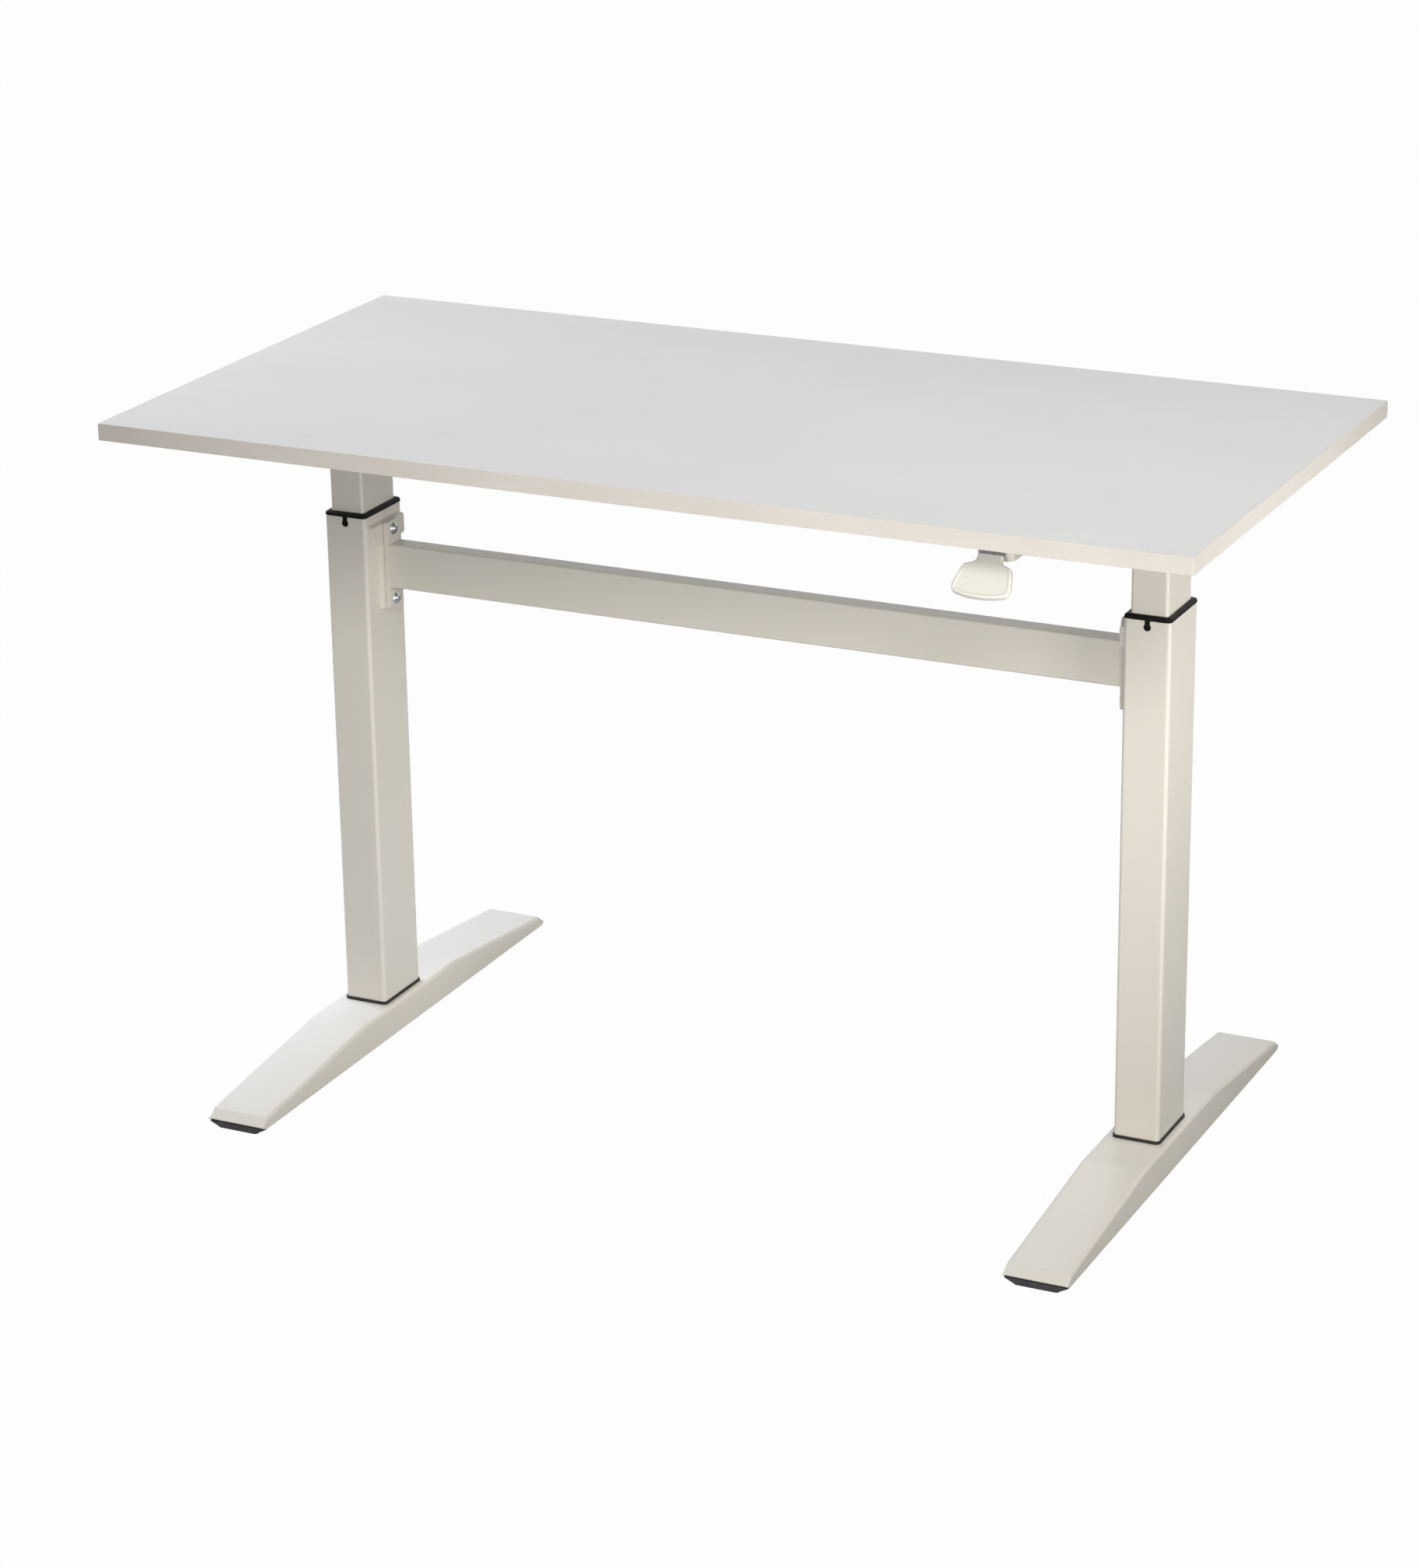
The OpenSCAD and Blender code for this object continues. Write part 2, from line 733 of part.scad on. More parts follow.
module tabletop() {
    color(melamine) difference() {
        translate([-top_w / 2 + band_t, -top_d / 2 + band_t, board_z])
            cube([top_w - 2 * band_t, top_d - 2 * band_t, board_t]);
        for (p = screw_points)
            translate([p[0], p[1], board_z - eps]) cylinder(h = screw_bite + 1 + eps, r = screw_d / 2 + fit_gap);
    }
}

module edge_band_long(face) {
    color(band_white) translate([0, face * (top_d - band_t) / 2, board_z + board_t / 2])
        cube([top_w, band_t, board_t], center = true);
}

module edge_bands_side() {
    color(band_white) for (face = [-1, 1]) translate([face * (top_w - band_t) / 2, 0, board_z + board_t / 2])
        cube([band_t, top_d - 2 * band_t, board_t], center = true);
}

// ---------- Inner columns ----------

module inner_column(side) {
    color(ivory) translate([side * column_x, 0, inner_z]) box_tube(inner_w, inner_d, inner_r, tube_wall, inner_len);
}

// Plastic shoes round the feet of the inner tubes, which slide in the outer tubes
module slide_shoes() {
    color(black) both_columns() translate([0, 0, inner_z]) difference() {
        translate([0, 0, -shoe_floor]) linear_extrude(shoe_h + shoe_floor)
            rounded_rect(bore_w - 2 * slide_gap, bore_d - 2 * slide_gap, max(bore_r - slide_gap, 1));
        linear_extrude(shoe_h + eps) rounded_rect(inner_w + 2 * weld_gap, inner_d + 2 * weld_gap, inner_r + weld_gap);
        translate([0, 0, -shoe_floor - eps]) linear_extrude(shoe_floor + 2 * eps)
            rounded_rect(inner_w - 4 * tube_wall, inner_d - 4 * tube_wall, 2);
    }
}

// Plates welded on the inner tubes and bolted under the support arms
module head_plates() {
    color(ivory) both_columns() translate([0, 0, head_z]) difference() {
        linear_extrude(head_t) rounded_rect(head_w, head_d, 5);
        translate([0, 0, -eps]) head_holes(head_t + 2 * eps);
    }
}

module head_holes(h) {
    at_corners(head_bolt_x, head_bolt_y) cylinder(h = h, r = head_bolt_d / 2 + hole_gap);
    cylinder(h = h, r = rod_d / 2 + fit_gap);
}

module head_bolts() {
    head_h = 4;
    color(zinc) both_columns() at_corners(head_bolt_x, head_bolt_y) {
        translate([0, 0, head_z - head_h]) hex_prism(head_hex, head_h);
        translate([0, 0, head_z - 1]) cylinder(h = arm_floor - head_z + 7, r = head_bolt_d / 2);
        translate([0, 0, arm_floor]) hex_nut(head_hex, 5, head_bolt_d / 2 + fit_gap);
    }
}

// ---------- Upper frame ----------

// Side outline of a support arm in (Y, Z), drawn in by `inset` from below
module arm_side(inset) {
    polygon([
        [-arm_len / 2 - inset, board_z - arm_tip_h + inset], [-arm_level / 2, arm_z + inset],
        [arm_level / 2, arm_z + inset], [arm_len / 2 + inset, board_z - arm_tip_h + inset],
        [arm_len / 2 + inset, board_z + inset], [-arm_len / 2 - inset, board_z + inset]
    ]);
}

// Pressed channel with out-turned flanges, open towards the board
module support_arm(side) {
    color(ivory) translate([side * column_x, 0, 0]) difference() {
        union() {
            along_x(arm_w) arm_side(0);
            translate([-arm_w / 2 - arm_flange, -arm_len / 2, board_z - arm_t])
                cube([arm_w + 2 * arm_flange, arm_len, arm_t]);
        }
        along_x(arm_w - 2 * arm_t) arm_side(arm_t);
        translate([0, 0, arm_z - eps]) head_holes(arm_t + 2 * eps);
        for (edge = [-1, 1], y = arm_screw_y)
            translate([edge * (arm_w + arm_flange) / 2, y, board_z - arm_t - eps])
                cylinder(h = arm_t + 2 * eps, r = screw_d / 2 + 0.3);
        mirror([side > 0 ? 1 : 0, 0, 0]) {
            at_rail_bolts() rotate([0, 90, 0]) cylinder(h = arm_w, r = rail_bolt_d / 2 + hole_gap);
            cable_slot();
        }
    }
}

// Places children on the axis of each rail bolt, seen from a column's centre
module at_rail_bolts() {
    for (rail = [-1, 1], dy = [-1, 1])
        translate([0, rail * rail_pitch / 2 + dy * rail_bolt_dy, rail_z]) children();
}

// Slot in the inner wall of a support arm where the release cable comes in
module cable_slot() {
    translate([arm_w / 2 - arm_t - eps, slot_front, slot_z]) cube([arm_t + 2 * eps, slot_len, slot_h]);
}

// Rectangular rail between the support arms, with a tapped plate in each end
module rail(face) {
    color(ivory) translate([0, face * rail_pitch / 2, rail_z]) {
        difference() {
            along_x(rail_len) difference() {
                square([rail_w, rail_h], center = true);
                square([rail_w - 2 * rail_wall, rail_h - 2 * rail_wall], center = true);
            }
        }
        for (end = [-1, 1]) difference() {
            translate([end * (rail_len - rail_plate_t) / 2, 0, 0])
                cube([rail_plate_t, rail_w - rail_wall, rail_h - rail_wall], center = true);
            for (dy = [-1, 1]) translate([end * rail_len / 2, dy * rail_bolt_dy, 0])
                rotate([0, 90, 0]) cylinder(h = 4 * rail_plate_t, r = rail_bolt_d / 2, center = true);
        }
    }
}

module rail_bolts() {
    color(zinc) for (side = [LEFT, RIGHT]) translate([side * (column_x - arm_w / 2 + arm_t), 0, 0])
        at_rail_bolts() rotate([0, side * 90, 0]) button_screw(rail_bolt_d, arm_t + rail_plate_t);
}

// Pan-head wood screws into the board
module board_screws() {
    color(zinc) for (p = screw_points) translate(p) {
        translate([0, 0, -screw_head_h]) cylinder(h = screw_head_h, r = screw_head_d / 2);
        translate([0, 0, -1]) cylinder(h = 1 + board_z - p[2] + screw_bite, r = screw_d / 2);
    }
}

// ---------- Release gear over each gas spring ----------

// Folded bracket that carries a release lever, and the upright that stops the cable sheath
module release_bracket(side) {
    base_t = 1.5;
    ear_h = crank_z + 4 - arm_floor;
    color(zinc) translate([side * column_x, 0, arm_floor]) {
        translate([-ear_x - ear_t, crank_y - 7, 0]) cube([2 * (ear_x + ear_t), 12.5, base_t]);
        for (s = [-1, 1]) difference() {
            translate([s * (ear_x + ear_t / 2), crank_y - 1, ear_h / 2]) cube([ear_t, 12, ear_h], center = true);
            translate([s * ear_x, crank_y, crank_z - arm_floor]) rotate([0, 90, 0])
                cylinder(h = 4 * ear_t, r = crank_pin_r + fit_gap, center = true);
        }
        translate([-ear_x - ear_t, stop_y - stop_t, 0]) cube([2 * (ear_x + ear_t), crank_y - stop_y, base_t]);
        difference() {
            translate([-ear_x, stop_y - stop_t, 0]) cube([2 * ear_x, stop_t, 14]);
            translate([0, stop_y, wire_z - arm_floor]) rotate([90, 0, 0])
                cylinder(h = 4 * stop_t, r = wire_d / 2 + 0.4, center = true);
        }
    }
}

// Pins of the two release levers
module pivot_pins() {
    reach = ear_x + ear_t + 1.5;
    color(zinc) both_columns() translate([0, crank_y, crank_z]) rotate([0, 90, 0])
        cylinder(h = 2 * reach, r = crank_pin_r, center = true);
}

// Bell crank: one arm presses on the release pin, the forked one is pulled by the cable
module release_lever(side) {
    color(zinc) translate([side * column_x, crank_y, crank_z]) difference() {
        union() {
            rotate([0, 90, 0]) cylinder(h = 2 * ear_x - 0.6, r = crank_hub_r, center = true);
            translate([-crank_w / 2, 0, -press_r]) cube([crank_w, -crank_y, 2 * press_r]);
            translate([0, -crank_y, 0]) rotate([0, 90, 0]) cylinder(h = crank_w, r = press_r, center = true);
            translate([-crank_w / 2, -fork_t / 2, -crank_reach - 3]) cube([crank_w, fork_t, crank_reach + 3]);
        }
        rotate([0, 90, 0]) cylinder(h = 3 * ear_x, r = crank_pin_r + fit_gap, center = true);
        translate([-fork_slot / 2, -fork_t, -crank_reach - 3 - eps]) cube([fork_slot, 2 * fork_t, 6]);
    }
}

// ---------- Cables ----------

function spline(p0, p1, p2, p3, t) = 0.5 * (
    2 * p1 + (p2 - p0) * t + (2 * p0 - 5 * p1 + 4 * p2 - p3) * t * t
    + (3 * p1 - p0 - 3 * p2 + p3) * t * t * t);

// Smooth path through the points of a route, with `steps` rings to a span
function smooth(route, steps) = let (
    last = len(route) - 1,
    p = concat([2 * route[0] - route[1]], route, [2 * route[last] - route[last - 1]])
) concat(
    [for (i = [0:last - 1], k = [0:steps - 1]) spline(p[i], p[i + 1], p[i + 2], p[i + 3], k / steps)],
    [route[last]]
);

function unit(v) = v / norm(v);

// Ring of points round a path point, square to the path
function ring(centre, ahead, r, sides) = let (
    right = unit(cross(ahead, [0, 0, 1])),
    up = cross(right, unit(ahead))
) [for (k = [0:sides - 1]) centre + r * (cos(360 * k / sides) * right + sin(360 * k / sides) * up)];

// Tube of constant diameter along a path
module swept_tube(path, r, sides = 10) {
    n = len(path);
    points = [for (i = [0:n - 1]) each ring(path[i], path[min(i + 1, n - 1)] - path[max(i - 1, 0)], r, sides)];
    walls = [for (i = [0:n - 2], k = [0:sides - 1]) let (a = i * sides + k, b = i * sides + (k + 1) % sides)
        [a, b, b + sides, a + sides]];
    start = [for (k = [sides - 1:-1:0]) k];
    finish = [for (k = [0:sides - 1]) (n - 1) * sides + k];
    polyhedron(points, concat(walls, [start, finish]), convexity = 6);
}

module cable(route) {
    color(black) swept_tube(smooth(route, 3), sheath_d / 2);
}

// Bare ends of the inner wires, from each sheath to the fork it pulls
module cable_cores() {
    color(zinc) {
        both_columns() translate([0, sheath_end, wire_z]) rotate([-90, 0, 0])
            cylinder(h = crank_y - sheath_end - 1, r = wire_d / 2);
        for (s = [-1, 1]) translate([paddle_x + s * lug_x, sheath_start, housing_wire_z]) rotate([90, 0, 0])
            cylinder(h = sheath_start - hinge_y - lug_y - 0.5, r = wire_d / 2);
    }
}

// Barrel on the end of an inner wire, caught behind the fork of a release lever
module lever_nipple(side) {
    color(brass) translate([side * column_x, crank_y + fork_t / 2 + nipple_r + fit_gap, wire_z])
        rotate([0, 90, 0]) cylinder(h = crank_w, r = nipple_r, center = true);
}

// Metal caps where the sheaths butt against their stops
module cable_ferrules() {
    color(brass) {
        both_columns() translate([0, stop_y - stop_t, wire_z]) ferrule();
        for (s = [-1, 1]) translate([paddle_x + s * lug_x, housing_back, housing_wire_z]) mirror([0, 1, 0]) ferrule();
    }
}

module ferrule() {
    rotate([90, 0, 0]) difference() {
        cylinder(h = ferrule_len, r = ferrule_r);
        translate([0, 0, 2]) cylinder(h = ferrule_len, r = sheath_d / 2 + fit_gap);
        translate([0, 0, -eps]) cylinder(h = 4, r = wire_d / 2 + 0.3);
    }
}

// Saddles that hold the long cable under the board
module cable_clips() {
    loop_r = sheath_d / 2 + clip_wall;
    color(black) for (x = clip_x) translate([x, run_y, 0]) difference() {
        union() {
            translate([0, 0, run_z]) rotate([0, 90, 0]) cylinder(h = clip_w, r = loop_r, center = true);
            translate([-clip_w / 2, -loop_r, run_z]) cube([clip_w, 2 * loop_r, board_z - run_z]);
            translate([-clip_w / 2, 0, board_z - clip_wall]) cube([clip_w, clip_len, clip_wall]);
        }
        translate([0, 0, run_z]) rotate([0, 90, 0])
            cylinder(h = clip_w + 2 * eps, r = sheath_d / 2 + 0.15, center = true);
        translate([0, clip_screw_dy, board_z - clip_wall - eps])
            cylinder(h = clip_wall + 2 * eps, r = screw_d / 2 + fit_gap);
    }
}

// ---------- Paddle ----------

// Folded box under the board that carries the hinge pin, open below and slotted in front
module lever_housing() {
    color(ivory) translate([paddle_x, 0, housing_z]) difference() {
        linear_extrude(housing_h) housing_plan(0);
        translate([0, 0, -eps]) linear_extrude(housing_h - housing_t + eps) housing_plan(housing_t);
        translate([-housing_slot_w / 2, housing_front - eps, housing_lip])
            cube([housing_slot_w, housing_t + 4, housing_h - housing_t - housing_lip]);
        translate([0, hinge_y, hinge_z - housing_z]) rotate([0, 90, 0])
            cylinder(h = housing_w + 2 * eps, r = hinge_pin_r + fit_gap, center = true);
        for (s = [-1, 1]) {
            translate([s * lug_x, housing_back, housing_wire_z - housing_z]) rotate([90, 0, 0])
                cylinder(h = 4 * housing_t, r = wire_d / 2 + 0.4, center = true);
            translate([s * housing_screw_dx, housing_screw_y, housing_h - housing_t - eps])
                cylinder(h = housing_t + 2 * eps, r = screw_d / 2 + 0.3);
        }
    }
}

// Plan of the housing with its front corners cut off, drawn in by `inset`
module housing_plan(inset) {
    half = housing_w / 2 - inset;
    front = housing_front + inset;
    back = housing_back - inset;
    cut = housing_chamfer - 0.6 * inset;
    polygon([
        [-half, back], [-half, front + cut], [-half + cut, front],
        [half - cut, front], [half, front + cut], [half, back]
    ]);
}

module hinge_pin() {
    head_t = 1.2;
    color(zinc) translate([paddle_x, hinge_y, hinge_z]) rotate([0, 90, 0]) {
        cylinder(h = housing_w + 0.2, r = hinge_pin_r, center = true);
        for (s = [-1, 1]) translate([0, 0, s * (housing_w / 2 + 0.1 + head_t / 2)])
            cylinder(h = head_t, r = hinge_pin_r + 1, center = true);
    }
}

// Local frame of the paddle: X across, -Y down its slope, +Z out of its upper face
module on_paddle() {
    translate([paddle_x, hinge_y, hinge_z]) rotate([paddle_tilt, 0, 0]) children();
}

// Outline of the paddle: a neck that flares into a fan-shaped tray
module paddle_outline(inset) {
    round_r = 4;
    chord = tray_w / 2 - 1.5;
    arc_r = (chord * chord + tray_sag * tray_sag) / (2 * tray_sag);
    sweep = asin(chord / arc_r);
    top = -neck_start - neck_len - 3.5;
    low = -neck_start - tray_len;
    offset(r = -inset) offset(r = -round_r) offset(delta = round_r) offset(r = round_r - 1) offset(delta = 1 - round_r)
        union() {
            translate([-neck_w / 2, top - 4]) square([neck_w, neck_start + neck_len + 4 - neck_start + 3.5]);
            polygon(concat(
                [[-neck_w / 2, top + 4], [-shoulder_w / 2, top], [-tray_w / 2, low + tray_sag + 3]],
                arc(0, low + arc_r, arc_r, 270 - sweep, 270 + sweep, 16),
                [[tray_w / 2, low + tray_sag + 3], [shoulder_w / 2, top], [neck_w / 2, top + 4]]
            ));
        }
}

// Part of the paddle below its neck
module tray_zone() {
    translate([-tray_w, -neck_start - tray_len - eps]) square([2 * tray_w, tray_len - neck_len + eps]);
}

// Pressed paddle: a sunk floor with a raised rim and a turned-down edge
module paddle() {
    color(ivory) on_paddle() difference() {
        translate([0, 0, -skirt_drop]) linear_extrude(skirt_drop + rim_rise) paddle_outline(0);
        translate([0, 0, rim_rise - 2]) linear_extrude(2 + eps)
            intersection() { paddle_outline(rim_w); tray_zone(); }
        translate([0, 0, -skirt_drop - eps]) linear_extrude(skirt_drop - sheet_t + rim_rise - 2 + eps) {
            paddle_outline(sheet_t);
            translate([sheet_t - neck_w / 2, -neck_start - neck_len]) square([neck_w - 2 * sheet_t, neck_len + eps]);
        }
        for (s = [-1, 1]) translate([s * paddle_hole_x, -neck_start - paddle_hole_s, -skirt_drop - eps])
            cylinder(h = skirt_drop + rim_rise + 2 * eps, r = paddle_hole_d / 2);
    }
}

// Stamped arm between the hinge pin and the paddle, with a forked lug for each cable
module paddle_arm() {
    top_n = rim_rise - 2 - sheet_t;
    color(zinc) difference() {
        union() {
            on_paddle() {
                rotate([0, 90, 0]) cylinder(h = hinge_hub_w, r = hinge_hub_r, center = true);
                translate([-neck_w / 2, weld_gap - neck_start, top_n - arm_plate_t])
                    cube([neck_w, neck_start - arm_notch, arm_plate_t]);
                translate([-hinge_hub_w / 2, -arm_plate_len, top_n - arm_plate_t])
                    cube([hinge_hub_w, arm_plate_len, arm_plate_t]);
            }
            translate([paddle_x, hinge_y, hinge_z]) for (s = [-1, 1])
                translate([s * lug_x - lug_w / 2, lug_y - 2, lug_z - 4]) cube([lug_w, 4, 9.5]);
        }
        translate([paddle_x, hinge_y, hinge_z]) {
            rotate([0, 90, 0]) cylinder(h = hinge_hub_w + 2 * eps, r = hinge_pin_r + fit_gap, center = true);
            for (s = [-1, 1]) translate([s * lug_x - 1.1, lug_y - 2 - eps, lug_z - 4 - eps]) cube([2.2, 4 + 2 * eps, 7]);
        }
        on_paddle() translate([1, -neck_start - 1, -2 * arm_plate_t]) cube([2.6, 8, 4 * arm_plate_t]);
    }
}

// Barrels on the ends of the inner wires, caught by the forked lugs
module paddle_nipples() {
    color(brass) for (s = [-1, 1])
        translate([paddle_x + s * lug_x, hinge_y + lug_y - 2 - nipple_r - 0.05, hinge_z + lug_z])
            rotate([0, 90, 0]) cylinder(h = lug_w, r = nipple_r, center = true);
}

// Torsion spring on the hinge pin: one leg bears on the housing, the other presses the paddle arm down
module return_spring() {
    leg = 10;
    front_turn = 90 + paddle_tilt;
    front_lean = paddle_tilt + 20;
    rear_lean = 10;
    last_turn = 90 - 360 * spring_turns;
    step = 30;
    steps = round((front_turn - last_turn) / step);
    front = [-spring_r * sin(front_turn), spring_r * cos(front_turn), 0];
    rear = [-spring_r, 0, spring_turns * spring_pitch];
    coil = [for (i = [0:steps]) let (a = front_turn + (last_turn - front_turn) * i / steps)
        [-spring_r * sin(a), spring_r * cos(a), spring_turns * spring_pitch * i / steps]];
    path = concat(
        [front + leg * [sin(front_lean), -cos(front_lean), 0], front + leg / 2 * [sin(front_lean), -cos(front_lean), 0]],
        coil,
        [rear + leg / 2 * [-sin(rear_lean), cos(rear_lean), 0], rear + leg * [-sin(rear_lean), cos(rear_lean), 0]]
    );
    color(zinc) translate([paddle_x + hinge_hub_w / 2 + 0.9, hinge_y, hinge_z]) rotate([0, 90, 0])
        swept_tube(path, spring_wire / 2, 8);
}

foot(LEFT);  // foot_left
foot(RIGHT);  // foot_right
foot_pads();
foot_plates();
foot_bolts();
gaskets();
outer_column(LEFT);  // outer_column_left
outer_column(RIGHT);  // outer_column_right
end_plates();
gas_cylinder(LEFT);  // gas_cylinder_left
gas_cylinder(RIGHT);  // gas_cylinder_right
cylinder_nuts();
bumpers();
collar(LEFT);  // collar_left
collar(RIGHT);  // collar_right
tee_bracket(LEFT);  // tee_bracket_left
tee_bracket(RIGHT);  // tee_bracket_right
crossbar();
crossbar_flanges();
crossbar_bolts();
tabletop();
edge_band_long(-1);  // edge_band_front
edge_band_long(1);  // edge_band_back
edge_bands_side();
inner_column(LEFT);  // inner_column_left
inner_column(RIGHT);  // inner_column_right
slide_shoes();
head_plates();
support_arm(LEFT);  // support_arm_left
support_arm(RIGHT);  // support_arm_right
rail(-1);  // rail_front
rail(1);  // rail_back
rail_bolts();
head_bolts();
board_screws();
gas_rod(LEFT);  // gas_rod_left
gas_rod(RIGHT);  // gas_rod_right
rod_nuts();
release_bracket(LEFT);  // release_bracket_left
release_bracket(RIGHT);  // release_bracket_right
pivot_pins();
release_lever(LEFT);  // release_lever_left
release_lever(RIGHT);  // release_lever_right
lever_nipple(LEFT);  // lever_nipple_left
lever_nipple(RIGHT);  // lever_nipple_right
release_pin(LEFT);  // release_pin_left
release_pin(RIGHT);  // release_pin_right
cable(cable_left_route);  // cable_left
cable(cable_right_route);  // cable_right
cable_cores();
cable_ferrules();
cable_clips();
lever_housing();
hinge_pin();
paddle_arm();
paddle();
paddle_nipples();
return_spring();
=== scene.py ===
"""Looks of a height adjustable standing desk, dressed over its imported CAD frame.

Every length is in metres in the frame of the CAD: X along the desk, Y from front to back, Z up.
The CAD solids that already have the right shape keep it and get soft edges and a finish. The
pressed feet, their pads, the collars, the tee brackets, the paddle, the cables, the return spring
and the board screws are built here as finer meshes that stand for their solids. Weld beads are
added to them.
"""

from __future__ import annotations

import logging
import math
from dataclasses import dataclass, field
from enum import Enum
from typing import Callable, Iterable, Sequence

import bmesh
import bpy
from mathutils import Matrix, Vector

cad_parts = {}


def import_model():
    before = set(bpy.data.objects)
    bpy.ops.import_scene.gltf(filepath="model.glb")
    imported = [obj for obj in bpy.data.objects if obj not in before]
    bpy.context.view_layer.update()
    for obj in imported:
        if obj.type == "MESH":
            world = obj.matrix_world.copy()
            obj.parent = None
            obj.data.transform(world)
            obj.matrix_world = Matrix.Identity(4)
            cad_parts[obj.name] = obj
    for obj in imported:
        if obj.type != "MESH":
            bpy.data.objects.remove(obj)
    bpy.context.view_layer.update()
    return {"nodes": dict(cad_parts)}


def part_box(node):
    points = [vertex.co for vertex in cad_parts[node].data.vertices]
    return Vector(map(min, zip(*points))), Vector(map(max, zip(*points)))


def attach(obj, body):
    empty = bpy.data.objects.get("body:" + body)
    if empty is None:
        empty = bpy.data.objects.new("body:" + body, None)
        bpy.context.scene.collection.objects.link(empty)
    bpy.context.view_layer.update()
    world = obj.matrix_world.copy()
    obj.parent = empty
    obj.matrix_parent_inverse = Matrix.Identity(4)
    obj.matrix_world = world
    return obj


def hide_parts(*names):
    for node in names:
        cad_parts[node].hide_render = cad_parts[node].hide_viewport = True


LOG = logging.getLogger("desk")

Flat = tuple[float, float]
Point = tuple[float, float, float]
Tree = bpy.types.NodeTree
Socket = bpy.types.NodeSocket

MM = 0.001
WHITE = (1.0, 1.0, 1.0, 1.0)
# Distance of the columns and the feet from the middle of the desk, along X.
COLUMN_X = 462.5 * MM
# Points of a CAD solid that are nearer than this are one corner.
SAME_CORNER = 2e-6


# ---------------------------------------------------------------- names


class Body(str, Enum):
    """Bodies of the frame that pieces ride on."""

    STAND = "stand"
    DESKTOP = "desktop"
    PADDLE = "paddle"


class Slot(str, Enum):
    """Material slots of the frame."""

    FRAME_PAINT = "frame_paint"
    MELAMINE = "melamine"
    EDGE_BAND = "edge_band"
    BLACK_PLASTIC = "black_plastic"
    BLACK_RUBBER = "black_rubber"
    ZINC = "zinc"
    SPRING_BLACK = "spring_black"
    ROD_CHROME = "rod_chrome"
    CABLE_SHEATH = "cable_sheath"
    BRASS = "brass"


class Side(Enum):
    """The two columns, by the sign of their X."""

    LEFT = -1
    RIGHT = 1

    @property
    def word(self) -> str:
        """Name of the side as the CAD nodes spell it."""
        return self.name.lower()

    @property
    def middle_x(self) -> float:
        """X of the side's column and foot."""
        return self.value * COLUMN_X


# ---------------------------------------------------------------- shader helpers


def linear(hex_code: str) -> tuple[float, float, float, float]:
    """Turns an sRGB hex colour into the linear colour that a shader socket holds.

    Args:
        hex_code: Colour such as "#D9D3C7".

    Returns:
        Linear red, green, blue and an alpha of 1.
    """
    channels = (int(hex_code.lstrip("#")[i : i + 2], 16) / 255 for i in (0, 2, 4))
    values = [c / 12.92 if c <= 0.04045 else ((c + 0.055) / 1.055) ** 2.4 for c in channels]
    return (values[0], values[1], values[2], 1.0)


def add_node(
    tree: Tree, kind: str, inputs: dict[str | int, object] | None = None, **settings: object
) -> bpy.types.Node:
    """Adds one node with its settings, its values and its links.

    Args:
        tree: Node tree that gets the node.
        kind: Blender's name of the node's type.
        inputs: Value or output socket for each input, by name or place.
        settings: Properties of the node itself.

    Returns:
        The new node.
    """
    made = tree.nodes.new(kind)
    for key, value in settings.items():
        setattr(made, key, value)
    for key, value in (inputs or {}).items():
        if isinstance(value, Socket):
            tree.links.new(value, made.inputs[key])
        else:
            made.inputs[key].default_value = value
    return made


# ---------------------------------------------------------------- finishes


@dataclass(frozen=True)
class Mottle:
    """A noise pattern, by the real width of its features in metres."""

    size: float
    detail: float = 2.0
    roughness: float = 0.5
    stretch: Point = (1.0, 1.0, 1.0)


@dataclass(frozen=True)
class Finish:
    """A surface finish that can make its Blender material."""

    name: str

    def fill(self, tree: Tree) -> None:
        """Fills the material's empty node tree."""
        raise NotImplementedError

    def material(self) -> bpy.types.Material:
        """Makes the material once and gives the same one every time after.

        Returns:
            The finish's material.
        """
        found = bpy.data.materials.get(self.name)
        if found:
            return found
        made = bpy.data.materials.new(self.name)
        made.use_nodes = True
        made.node_tree.nodes.clear()
        self.fill(made.node_tree)
        return made


